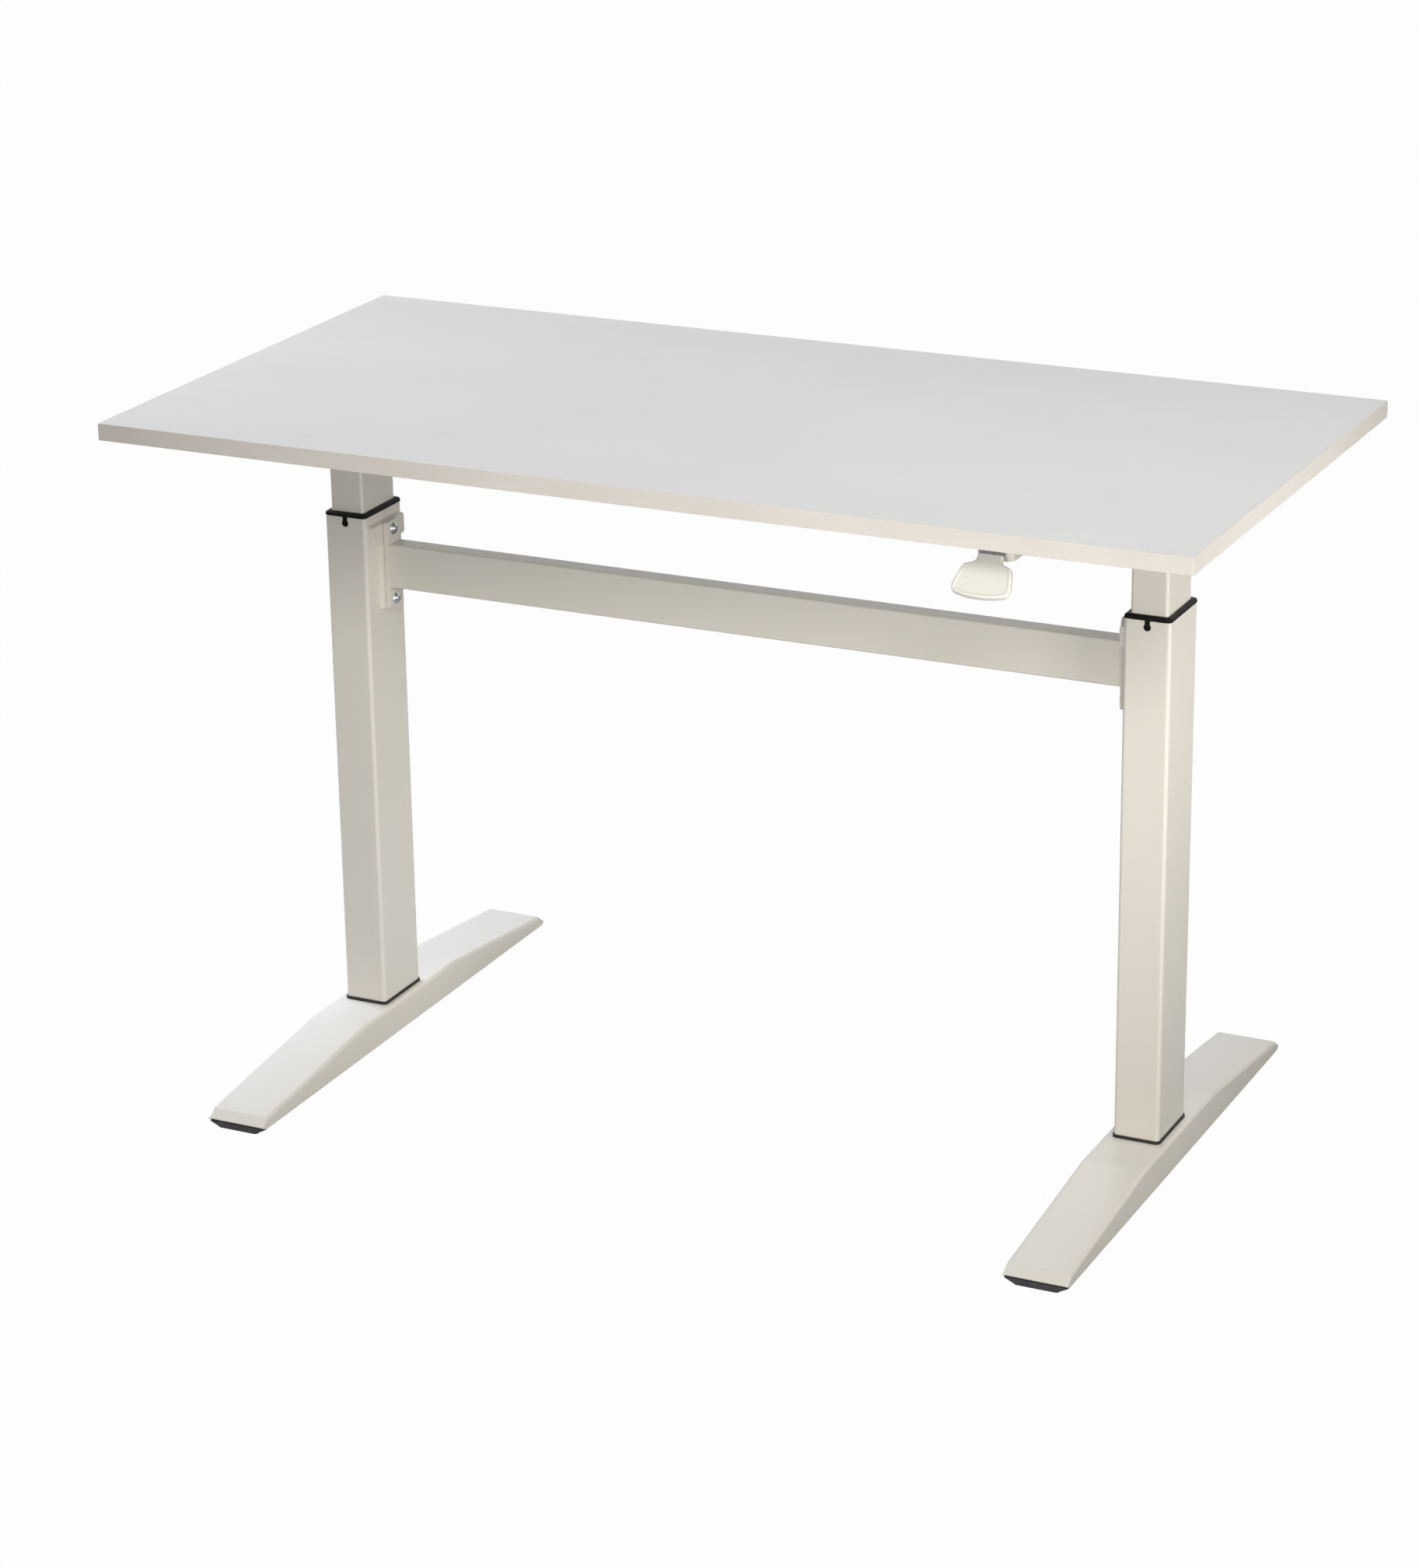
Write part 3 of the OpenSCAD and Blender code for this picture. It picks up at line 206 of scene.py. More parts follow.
@dataclass(frozen=True)
class MottledFinish(Finish):
    """A finish whose colour, roughness and relief follow noise patterns.

    The colour goes from the first tone to the second while the noise of the clouds rises through
    `tone_span`. The roughness goes from its lowest to its highest value in the same way, by the
    noise of the patches. The relief holds patterns and their depths in metres, each over the last.
    The IOR of the coats, the plastics and the rubber is near the shader's own 1.5, so it is kept.
    """

    tones: tuple[str, str] = ("#000000", "#000000")
    tone_span: Flat = (0.35, 0.65)
    clouds: Mottle = Mottle(20 * MM, 3)
    rough: Flat = (0.32, 0.5)
    rough_span: Flat = (0.3, 0.7)
    patches: Mottle = Mottle(20 * MM, 3)
    relief: tuple[tuple[Mottle, float], ...] = ()
    metallic: float = 0.0
    specular: float = 0.5
    ior: float = 1.5

    def patterns(self) -> list[Mottle]:
        """Lists the noise patterns that the finish needs."""
        return [self.clouds, self.patches, *(mottle for mottle, _ in self.relief)]

    def marked(self, tree: Tree, colour: Socket, noises: dict[Mottle, Socket]) -> Socket:
        """Gives the colour with the finish's marks over it; most finishes have none."""
        return colour

    def fill(self, tree: Tree) -> None:
        """Adds the noises, the colour, the roughness and the relief, and links them to a shader.

        Args:
            tree: Node tree of the material.
        """
        place = add_node(tree, "ShaderNodeTexCoord").outputs["Object"]
        noises: dict[Mottle, Socket] = {}
        for mottle in dict.fromkeys(self.patterns()):
            scale = tuple(1 / s for s in mottle.stretch)
            mapping = add_node(tree, "ShaderNodeMapping", {"Vector": place, "Scale": scale})
            noise = add_node(
                tree,
                "ShaderNodeTexNoise",
                {
                    "Vector": mapping.outputs["Vector"],
                    "Scale": 1 / mottle.size,
                    "Detail": mottle.detail,
                    "Roughness": mottle.roughness,
                },
            )
            noises[mottle] = noise.outputs["Fac"]
        ramp = add_node(tree, "ShaderNodeValToRGB", {"Fac": noises[self.clouds]})
        for end, spot, tone in zip(ramp.color_ramp.elements, self.tone_span, self.tones):
            end.position, end.color = spot, linear(tone)
        drift = add_node(
            tree,
            "ShaderNodeMapRange",
            {
                "Value": noises[self.patches],
                "From Min": self.rough_span[0],
                "From Max": self.rough_span[1],
                "To Min": self.rough[0],
                "To Max": self.rough[1],
            },
        )
        inputs: dict[str | int, object] = {
            "Base Color": self.marked(tree, ramp.outputs["Color"], noises),
            "Roughness": drift.outputs["Result"],
            "Metallic": self.metallic,
            "Specular IOR Level": self.specular,
            "IOR": self.ior,
        }
        under: dict[str | int, object] = {}
        for mottle, depth in self.relief:
            bump = add_node(
                tree,
                "ShaderNodeBump",
                {"Height": noises[mottle], "Distance": depth, "Strength": 1.0, **under},
            )
            under = {"Normal": bump.outputs["Normal"]}
        shader = add_node(tree, "ShaderNodeBsdfPrincipled", {**inputs, **under})
        add_node(tree, "ShaderNodeOutputMaterial", {"Surface": shader.outputs["BSDF"]})


@dataclass(frozen=True)
class PowderCoat(MottledFinish):
    """Powder-coated steel: an even ivory film whose orange peel makes a soft, wavy mirror."""

    tones: tuple[str, str] = ("#DCD6CA", "#D9D3C6")
    tone_span: Flat = (0.15, 0.85)
    clouds: Mottle = Mottle(300 * MM, 2, 0.4)
    rough: Flat = (0.275, 0.305)
    rough_span: Flat = (0.1, 0.9)
    patches: Mottle = Mottle(120 * MM)
    # The film's bumps lie 1.6 mm apart, as on real powder coat, under waves of 24 mm.
    relief: tuple[tuple[Mottle, float], ...] = (
        (Mottle(1.6 * MM, 2, 0.4), 0.012 * MM),
        (Mottle(24 * MM, 1), 0.02 * MM),
    )


@dataclass(frozen=True)
class MelamineLaminate(MottledFinish):
    """Melamine laminate: a cool white sheet with faint cloudy marks and a fine pearl grain."""

    tones: tuple[str, str] = ("#EAE9E8", "#E7E6E5")
    tone_span: Flat = (0.3, 0.7)
    clouds: Mottle = Mottle(160 * MM, 4, 0.6, (1.6, 1.0, 1.0))
    rough: Flat = (0.40, 0.44)
    patches: Mottle = clouds
    # The press plate's pearls are 0.3 mm wide, too fine to show, so they are drawn 0.9 mm wide.
    relief: tuple[tuple[Mottle, float], ...] = ((Mottle(0.9 * MM), 0.02 * MM),)
    wipes: Mottle = Mottle(35 * MM, 5, 0.62, (2.0, 1.0, 1.0))
    wipe_span: Flat = (0.60, 0.74)
    wiped: str = "#D3D3D6"
    most_wiped: float = 0.22

    def patterns(self) -> list[Mottle]:
        """Lists the noise patterns that the finish needs."""
        return [*super().patterns(), self.wipes]

    def marked(self, tree: Tree, colour: Socket, noises: dict[Mottle, Socket]) -> Socket:
        """Lays a few darker wipe marks over the colour.

        Args:
            tree: Node tree of the material.
            colour: The colour without marks.
            noises: Value of each noise pattern, 0 to 1.

        Returns:
            The colour with its marks.
        """
        share = add_node(
            tree,
            "ShaderNodeMapRange",
            {
                "Value": noises[self.wipes],
                "From Min": self.wipe_span[0],
                "From Max": self.wipe_span[1],
                "To Min": 0.0,
                "To Max": self.most_wiped,
            },
        )
        # Inputs 6 and 7 and output 2 of the mix node are its colours.
        inputs = {0: share.outputs["Result"], 6: colour, 7: linear(self.wiped)}
        return add_node(tree, "ShaderNodeMix", inputs, data_type="RGBA").outputs[2]


@dataclass(frozen=True)
class EdgeBanding(MottledFinish):
    """ABS edge band: a warmer strip with faint stains and lines left by its trimming cutter."""

    tones: tuple[str, str] = ("#E0D9D0", "#D7D0C6")
    tone_span: Flat = (0.3, 0.75)
    clouds: Mottle = Mottle(50 * MM, 4, 0.6, (2.2, 2.2, 1.0))
    rough: Flat = (0.3, 0.44)
    patches: Mottle = clouds
    # Real cutter lines are 0.3 mm apart, too fine to show, so they are drawn 1.2 mm apart.
    relief: tuple[tuple[Mottle, float], ...] = (
        (Mottle(1.2 * MM, 2, 0.5, (12.0, 12.0, 1.0)), 0.015 * MM),
    )


@dataclass(frozen=True)
class MouldedPlastic(MottledFinish):
    """Moulded plastic: nearly black and dull, with a fine spark-eroded grain and handling marks."""

    tones: tuple[str, str] = ("#0E0D0E", "#161516")
    rough: Flat = (0.32, 0.48)
    patches: Mottle = Mottle(12 * MM, 3)
    # A real spark-eroded grain is 0.1 mm wide, too fine to show, so it is drawn 0.6 mm wide.
    relief: tuple[tuple[Mottle, float], ...] = ((Mottle(0.6 * MM), 0.03 * MM),)
    specular: float = 0.12


@dataclass(frozen=True)
class Rubber(MottledFinish):
    """Moulded rubber: a matt dark sheet or block with a chalky bloom."""

    tones: tuple[str, str] = ("#131211", "#1A1918")
    clouds: Mottle = Mottle(15 * MM, 4)
    rough: Flat = (0.62, 0.8)
    patches: Mottle = Mottle(20 * MM)
    relief: tuple[tuple[Mottle, float], ...] = ((Mottle(1 * MM, 3), 0.06 * MM),)


@dataclass(frozen=True)
class PlatedMetal(MottledFinish):
    """Plated or turned metal: a bright mirror, broken by fine lines and dulled in patches."""

    tones: tuple[str, str] = ("#C6C8C9", "#B5B7B9")
    clouds: Mottle = Mottle(8 * MM, 3)
    rough: Flat = (0.18, 0.38)
    patches: Mottle = Mottle(6 * MM, 4)
    # Real rolling and turning lines are 0.05 mm apart and would not show, so these are coarser.
    relief: tuple[tuple[Mottle, float], ...] = ((Mottle(0.35 * MM), 0.006 * MM),)
    metallic: float = 1.0


@dataclass(frozen=True)
class SpringPaint(MottledFinish):
    """Black paint of a gas spring's cylinder: glossy, with a slight haze of oil."""

    tones: tuple[str, str] = ("#131313", "#1E1D1D")
    clouds: Mottle = Mottle(30 * MM, 3)
    rough: Flat = (0.2, 0.36)
    relief: tuple[tuple[Mottle, float], ...] = ((Mottle(1.1 * MM), 0.01 * MM),)


@dataclass(frozen=True)
class StudioFloor(Finish):
    """White studio floor: white to the camera but for a trace of shadow, and clear from below."""

    grey: float = 0.5
    whitened: float = 0.98

    def fill(self, tree: Tree) -> None:
        """Mixes a diffuse part with a white part that only the camera sees.

        Args:
            tree: Node tree of the material.
        """
        ground = add_node(tree, "ShaderNodeBsdfDiffuse", {"Color": (*[self.grey] * 3, 1.0)})
        white = add_node(tree, "ShaderNodeEmission", {"Color": WHITE, "Strength": 1.0})
        rays = add_node(tree, "ShaderNodeLightPath")
        share = add_node(
            tree,
            "ShaderNodeMath",
            {0: rays.outputs["Is Camera Ray"], 1: self.whitened},
            operation="MULTIPLY",
        )
        mix = add_node(
            tree,
            "ShaderNodeMixShader",
            {0: share.outputs[0], 1: ground.outputs[0], 2: white.outputs[0]},
        )
        side = add_node(tree, "ShaderNodeNewGeometry")
        clear = add_node(tree, "ShaderNodeBsdfTransparent")
        sided = add_node(
            tree,
            "ShaderNodeMixShader",
            {0: side.outputs["Backfacing"], 1: mix.outputs[0], 2: clear.outputs[0]},
        )
        add_node(tree, "ShaderNodeOutputMaterial", {"Surface": sided.outputs[0]})


class Finishes:
    """The finishes of the desk: one object for each real material, and for the paddle a copy of the
    powder coat painted lighter as painted light.
    """

    # An even film that takes the colour of the light and mirrors the lamps softly.
    powder_coat = PowderCoat("powder-coated steel")
    # The paddle has the same smooth film as the frame, painted a shade lighter and yellower:
    # painted light for the paddle catching more light as it faces up and forward.
    lit_paddle_coat = PowderCoat(
        "powder-coated paddle steel", tones=("#E4E1D6", "#E2DED3"), rough=(0.285, 0.315)
    )
    # A cool, flat white that only shows its grain where a lamp grazes it.
    melamine = MelamineLaminate("melamine laminate")
    # Warmer than the board, so that the edge reads as a strip of its own.
    edge_band = EdgeBanding("ABS edge band")
    # Almost no mirror, so that collars and clips stay deep black beside the ivory.
    nylon = MouldedPlastic("moulded nylon")
    # Matt and dark: the gaskets read as thin black lines.
    rubber = Rubber("black rubber")
    # The pads are a lighter grey than the gaskets.
    pad_rubber = Rubber("grey pad rubber", tones=("#434245", "#4D4C4F"))
    # A cold grey metal with a broad, slightly milky highlight.
    zinc = PlatedMetal("zinc-plated steel")
    # Nearly a mirror, so that the gas springs' rods show sharp dark and bright stripes.
    chrome = PlatedMetal("hard chrome", tones=("#D6D7DA", "#C8CACE"), rough=(0.04, 0.24))
    # Warm yellow barrels on the wire ends.
    brass = PlatedMetal("turned brass", tones=("#C9A766", "#B8934F"), rough=(0.17, 0.37))
    # Blacker and glossier than the plastic round it.
    spring_paint = SpringPaint("painted spring cylinder")
    # The sheath is softer and smoother than the nylon, so it has a broad dull highlight.
    sheath = MouldedPlastic("PVC cable sheath", tones=("#171718", "#202022"), rough=(0.4, 0.56))

    by_slot: dict[str, Finish] = {
        Slot.FRAME_PAINT: powder_coat,
        Slot.MELAMINE: melamine,
        Slot.EDGE_BAND: edge_band,
        Slot.BLACK_PLASTIC: nylon,
        Slot.BLACK_RUBBER: rubber,
        Slot.ZINC: zinc,
        Slot.SPRING_BLACK: spring_paint,
        Slot.ROD_CHROME: chrome,
        Slot.CABLE_SHEATH: sheath,
        Slot.BRASS: brass,
    }


# ---------------------------------------------------------------- mesh building


class Soften:
    """The modifiers that give a CAD node soft edges and clean shading."""

    sharp_angle = math.radians(32)
    flat_angle = math.radians(0.4)
    segments = 3
    face_weight = 60

    @classmethod
    def clean_group(cls) -> Tree:
        """Makes the nodes that weld a solid's faces and smooth all but its sharp edges.

        Returns:
            The node group, which all solids share.
        """
        found = bpy.data.node_groups.get("weld and shade")
        if found:
            return found
        tree = bpy.data.node_groups.new("weld and shade", "GeometryNodeTree")
        for way in ("INPUT", "OUTPUT"):
            tree.interface.new_socket("Geometry", in_out=way, socket_type="NodeSocketGeometry")
        start = add_node(tree, "NodeGroupInput").outputs[0]
        weld = add_node(
            tree, "GeometryNodeMergeByDistance", {"Geometry": start, "Distance": SAME_CORNER}
        )
        bare = add_node(
            tree,
            "GeometryNodeRemoveAttribute",
            {"Geometry": weld.outputs[0], "Name": "custom_normal"},
        )
        faces = add_node(
            tree,
            "GeometryNodeSetShadeSmooth",
            {"Geometry": bare.outputs[0], "Shade Smooth": True},
            domain="FACE",
        )
        angle = add_node(tree, "GeometryNodeInputMeshEdgeAngle")
        soft = add_node(
            tree,
            "FunctionNodeCompare",
            {0: angle.outputs["Unsigned Angle"], 1: cls.sharp_angle},
            data_type="FLOAT",
            operation="LESS_THAN",
        )
        edges = add_node(
            tree,
            "GeometryNodeSetShadeSmooth",
            {"Geometry": faces.outputs[0], "Shade Smooth": soft.outputs[0]},
            domain="EDGE",
        )
        add_node(tree, "NodeGroupOutput", {0: edges.outputs[0]})
        return tree

    @classmethod
    def solid(cls, obj: bpy.types.Object, width: float) -> None:
        """Rounds the sharp edges of a solid.

        Args:
            obj: The CAD node's object.
            width: Width of the round in metres; 0 leaves the edges sharp.
        """
        clean = obj.modifiers.new("clean", "NODES")
        clean.node_group = cls.clean_group()
        if width <= 0:
            return
        flat = obj.modifiers.new("flat faces", "DECIMATE")
        flat.decimate_type = "DISSOLVE"
        flat.angle_limit = cls.flat_angle
        bevel = obj.modifiers.new("round edges", "BEVEL")
        bevel.width = width
        bevel.segments = cls.segments
        bevel.limit_method = "ANGLE"
        bevel.angle_limit = cls.sharp_angle
        bevel.miter_outer = "MITER_ARC"
        bevel.use_clamp_overlap = True
        normals = obj.modifiers.new("face normals", "WEIGHTED_NORMAL")
        normals.keep_sharp = True
        normals.weight = cls.face_weight


class Draft:
    """A mesh in the making: its points and faces."""

    def __init__(self) -> None:
        """Starts with no points and no faces."""
        self.points: list[Vector] = []
        self.faces: list[tuple[int, ...]] = []

    def ring(self, points: Iterable[Sequence[float]]) -> list[int]:
        """Adds a row of points.

        Args:
            points: The points in order.

        Returns:
            Their numbers in the mesh.
        """
        first = len(self.points)
        self.points.extend(Vector(p) for p in points)
        return list(range(first, len(self.points)))

    def bridge(self, one: Sequence[int], two: Sequence[int], closed: bool = True) -> None:
        """Joins two rings of equal length with quads.

        Args:
            one: Numbers of the first ring's points.
            two: Numbers of the second ring's points.
            closed: Whether the last points join the first ones.
        """
        count = len(one)
        for i in range(count if closed else count - 1):
            j = (i + 1) % count
            self.faces.append((one[i], one[j], two[j], two[i]))

    def loft(self, rings: Sequence[Iterable[Sequence[float]]]) -> None:
        """Joins a row of rings into a closed skin with a face at each end.

        Args:
            rings: The rings in order.
        """
        made = [self.ring(r) for r in rings]
        for one, two in zip(made, made[1:]):
            self.bridge(one, two)
        self.faces.append(tuple(reversed(made[0])))
        self.faces.append(tuple(made[-1]))

    def hoop(self, rings: Sequence[Iterable[Sequence[float]]]) -> None:
        """Joins rings into a skin that closes on itself.

        Args:
            rings: The rings in order.
        """
        made = [self.ring(r) for r in rings]
        for one, two in zip(made, made[1:] + made[:1]):
            self.bridge(one, two)

    def build(
        self, name: str, finish: Finish, smooth_angle: float | None = 32.0
    ) -> bpy.types.Object:
        """Turns the draft into an object.

        Args:
            name: Name of the piece.
            finish: Its finish.
            smooth_angle: Edges sharper than this, in degrees, stay sharp; None smooths them all.

        Returns:
            The new mesh object, linked to the scene.
        """
        mesh = bpy.data.meshes.new(name)
        mesh.from_pydata([tuple(p) for p in self.points], [], self.faces)
        work = bmesh.new()
        work.from_mesh(mesh)
        bmesh.ops.remove_doubles(work, verts=work.verts, dist=1e-6)
        bmesh.ops.recalc_face_normals(work, faces=work.faces)
        for face in work.faces:
            face.smooth = True
        if smooth_angle is not None:
            mark_sharp(work, smooth_angle)
        work.to_mesh(mesh)
        work.free()
        return add_piece(name, mesh, finish)


def add_piece(name: str, mesh: bpy.types.Mesh, finish: Finish) -> bpy.types.Object:
    """Makes an object of a mesh and links it to the scene.

    Args:
        name: Name of the piece.
        mesh: Its mesh, with no material yet.
        finish: Its finish.

    Returns:
        The new object.
    """
    mesh.materials.append(finish.material())
    made = bpy.data.objects.new(name, mesh)
    bpy.context.scene.collection.objects.link(made)
    return made


def arc(centre: Flat, radius: float, start: float, end: float, steps: int) -> list[Flat]:
    """Points of an arc in a plane, angles in degrees."""
    turns = [math.radians(start + (end - start) * i / steps) for i in range(steps + 1)]
    return [(centre[0] + radius * math.cos(a), centre[1] + radius * math.sin(a)) for a in turns]


def circle(radius: float, steps: int, centre: Flat = (0.0, 0.0)) -> list[Flat]:
    """Points of a circle in a plane, the first along its first axis."""
    turns = [2 * math.pi * i / steps for i in range(steps)]
    return [(centre[0] + radius * math.cos(a), centre[1] + radius * math.sin(a)) for a in turns]


def rounded_box_outline(width: float, depth: float, radius: float, steps: int) -> list[Flat]:
    """Outline of a rectangle with round corners, about the origin, turning left.

    Args:
        width: Size along the first axis.
        depth: Size along the second axis.
        radius: Radius of the corners.
        steps: Steps in each corner.

    Returns:
        Points of the outline.
    """
    x, y = width / 2 - radius, depth / 2 - radius
    outline: list[Flat] = []
    for corner, start in (((x, -y), -90), ((x, y), 0), ((-x, y), 90), ((-x, -y), 180)):
        outline += arc(corner, radius, start, start + 90, steps)
    return outline


def clamp(value: float, low: float = 0.0, high: float = 1.0) -> float:
    """Keeps a value between two limits."""
    return min(max(value, low), high)


def smoothstep(edge0: float, edge1: float, value: float) -> float:
    """Eases from 0 at edge0 to 1 at edge1."""
    t = clamp((value - edge0) / (edge1 - edge0))
    return t * t * (3 - 2 * t)


def tube(
    draft: Draft, path: Sequence[Vector], radius: Callable[[int], float], sides: int
) -> None:
    """Sweeps a round section along a path without twisting it.

    Args:
        draft: Mesh that gets the tube.
        path: Points of the centre line.
        radius: Radius at each point of the path, by its number.
        sides: Points round the section.
    """
    side = None
    rings = []
    last = len(path) - 1
    for i, spot in enumerate(path):
        ahead = (path[min(i + 1, last)] - path[max(i - 1, 0)]).normalized()
        side = ahead.orthogonal() if side is None else side - ahead * side.dot(ahead)
        side.normalize()
        other = ahead.cross(side)
        rings.append([tuple(spot + side * u + other * v) for u, v in circle(radius(i), sides)])
    draft.loft(rings)


def smooth_path(route: Sequence[Sequence[float]], steps: int) -> list[Vector]:
    """Draws a smooth curve through the points of a route.

    Args:
        route: The points in order.
        steps: Points of the curve to each span of the route.

    Returns:
        Points of the curve, from the route's first to its last.
    """
    spots = [Vector(p) for p in route]
    chain = [2 * spots[0] - spots[1], *spots, 2 * spots[-1] - spots[-2]]
    made: list[Vector] = []
    for a, b, c, d in zip(chain, chain[1:], chain[2:], chain[3:]):
        bend, twist = 2 * a - 5 * b + 4 * c - d, 3 * b - a - 3 * c + d
        for k in range(steps):
            t = k / steps
            made.append(0.5 * (2 * b + (c - a) * t + bend * t**2 + twist * t**3))
    return [*made, spots[-1]]


def solids_of(obj: bpy.types.Object) -> list[tuple[Vector, Vector]]:
    """Finds the separate solids of a CAD node.

    Args:
        obj: The node's object.

    Returns:
        Lowest and highest corner of each solid.
    """
    work = bmesh.new()
    work.from_mesh(obj.data)
    bmesh.ops.remove_doubles(work, verts=work.verts, dist=SAME_CORNER)
    left = set(work.verts)
    found: list[tuple[Vector, Vector]] = []
    while left:
        grow = [left.pop()]
        spots = [grow[0].co.copy()]
        while grow:
            for edge in grow.pop().link_edges:
                for vert in edge.verts:
                    if vert in left:
                        left.discard(vert)
                        grow.append(vert)
                        spots.append(vert.co.copy())
        axes = list(zip(*spots))
        found.append((Vector([min(a) for a in axes]), Vector([max(a) for a in axes])))
    work.free()
    return sorted(found, key=lambda pair: tuple(round(v, 5) for v in pair[0]))


def mark_sharp(work: bmesh.types.BMesh, angle: float) -> None:
    """Keeps the edges sharper than `angle` degrees sharp in the shading, and smooths the rest."""
    for edge in work.edges:
        edge.smooth = len(edge.link_faces) != 2 or edge.calc_face_angle(0) <= math.radians(angle)


def cut_out(obj: bpy.types.Object, tool: bpy.types.Object, own_overlaps: bool = False) -> None:
    """Cuts a tool's shape out of a piece at once and deletes the tool.

    Args:
        obj: The piece.
        tool: What is cut out of it.
        own_overlaps: Whether the tool's own parts overlap.
    """
    cut = obj.modifiers.new("cut out", "BOOLEAN")
    cut.operation = "DIFFERENCE"
    cut.solver = "EXACT"
    cut.use_self = own_overlaps
    cut.object = tool
    shape = obj.evaluated_get(bpy.context.evaluated_depsgraph_get())
    mesh = bpy.data.meshes.new_from_object(shape)
    old = obj.data
    obj.modifiers.clear()
    obj.data = mesh
    bpy.data.meshes.remove(old)
    bpy.data.objects.remove(tool)


# ---------------------------------------------------------------- camera and light


@dataclass
class Camera:
    """The camera, by where it stands and how it is turned, in radians."""

    place: Point = (1.87057, -3.96055, 1.96782)
    azimuth: float = 0.45067285
    elevation: float = 0.35205233
    roll: float = -0.01432764
    lens: float = 99.98
    sensor: float = 36

    def build(self) -> bpy.types.Object:
        """Makes the camera and sets it as the scene's.

        Returns:
            The camera object.
        """
        data = bpy.data.cameras.new("camera")
        data.lens = self.lens
        data.sensor_width = self.sensor
        made = bpy.data.objects.new("camera", data)
        turn = (
            Matrix.Rotation(self.azimuth, 4, "Z")
            @ Matrix.Rotation(math.pi / 2 - self.elevation, 4, "X")
            @ Matrix.Rotation(self.roll, 4, "Z")
        )
        made.matrix_world = Matrix.Translation(self.place) @ turn
        bpy.context.scene.collection.objects.link(made)
        bpy.context.scene.camera = made
        return made


@dataclass
class SoftBox:
    """One square studio light that points at the desk."""

    name: str
    place: Point
    size: float
    power: float
    target: Point = (0.0, 0.0, 0.45)
    spread: float = 180.0
    colour: str = "#FFFFFF"

    def build(self) -> bpy.types.Object:
        """Makes the light, aimed at its target.

        Returns:
            The light's object.
        """
        data = bpy.data.lights.new(self.name, "AREA")
        data.shape = "SQUARE"
        data.size = self.size
        data.energy = self.power
        data.color = linear(self.colour)[:3]
        data.spread = math.radians(self.spread)
        made = bpy.data.objects.new(self.name, data)
        made.location = self.place
        aim = Vector(self.target) - Vector(self.place)
        made.rotation_euler = aim.to_track_quat("-Z", "Y").to_euler()
        bpy.context.scene.collection.objects.link(made)
        return made


@dataclass
class Studio:
    """The pale floor, the white surroundings and the lamps."""

    ambient: float = 0.12
    lamps: list[SoftBox] = field(
        default_factory=lambda: [
            SoftBox("ceiling light", (0.1, 0.3, 2.9), 2.6, 8.0),
            SoftBox("high left front light", (-0.4, -2.4, 2.6), 0.8, 1.2, (-0.35, 0.0, 0.35), 70),
            SoftBox("high right front light", (1.8, -2.6, 2.6), 1.0, 6.5, (0.0, 0.0, 0.3), 60),
            SoftBox("low key light", (0.95, -1.4, 0.6), 0.5, 2.1, (0.3, 0.0, 0.5), 90),
            SoftBox("front light", (0.5, -2.4, 0.75), 0.4, 1.0, (-0.2, 0.0, 0.55), 50),
            SoftBox("right light", (1.9, 0.5, 1.25), 0.8, 1.15, (0.49, 0.0, 0.6), 60),
            SoftBox("low right light", (1.7, -0.4, 0.75), 0.5, 1.35, (0.49, 0.0, 0.6), 60),
            SoftBox("left light", (-2.2, 0.3, 1.6), 1.2, 4.6, (-0.46, 0.0, 0.2), 60, "#F4F7FF"),
            SoftBox(
                "low left light", (-1.9, 0.2, 0.6), 0.6, 3.2, (-0.46, 0.0, 0.04), 60, "#B9D3FF"
            ),
            SoftBox("back light", (-0.6, 3.0, 3.0), 2.0, 4.9, (0.0, 0.0, 0.4), 120),
        ]
    )
    floor_half: float = 14.0
    floor_steps: int = 8

    def build(self) -> None:
        """Makes the world, the lamps and the floor."""
        bpy.context.scene.view_settings.view_transform = "Standard"
        self.surroundings()
        for lamp in self.lamps:
            lamp.build()
        self.floor()

    def surroundings(self) -> None:
        """Makes a world that is white to the camera and in mirrors, and dim as a light."""
        world = bpy.data.worlds.new("white studio")
        bpy.context.scene.world = world
        world.use_nodes = True
        tree = world.node_tree
        tree.nodes.clear()
        rays = add_node(tree, "ShaderNodeLightPath").outputs
        mirror = add_node(
            tree,
            "ShaderNodeMath",
            {0: rays["Is Glossy Ray"], 1: rays["Is Transmission Ray"]},
            operation="MAXIMUM",
        )
        either = add_node(
            tree,
            "ShaderNodeMath",
            {0: rays["Is Camera Ray"], 1: mirror.outputs[0]},
            operation="MAXIMUM",
        )
        seen = add_node(tree, "ShaderNodeBackground", {"Color": WHITE, "Strength": 1.0})
        dim = add_node(tree, "ShaderNodeBackground", {"Color": WHITE, "Strength": self.ambient})
        mix = add_node(
            tree,
            "ShaderNodeMixShader",
            {0: either.outputs[0], 1: dim.outputs[0], 2: seen.outputs[0]},
        )
        add_node(tree, "ShaderNodeOutputWorld", {"Surface": mix.outputs[0]})

    def floor(self) -> bpy.types.Object:
        """Makes the white floor, which keeps a trace of the desk's shadow.

        Returns:
            The floor, which is no part of the desk.
        """
        half, steps = self.floor_half, self.floor_steps
        lines = [-half + 2 * half * i / steps for i in range(steps + 1)]
        draft = Draft()
        rows = [draft.ring((x, y, 0.0) for x in lines) for y in lines]
        for one, two in zip(rows, rows[1:]):
            draft.bridge(one, two, closed=False)
        made = draft.build("floor", StudioFloor("studio floor"))
        return made


# ---------------------------------------------------------------- pieces


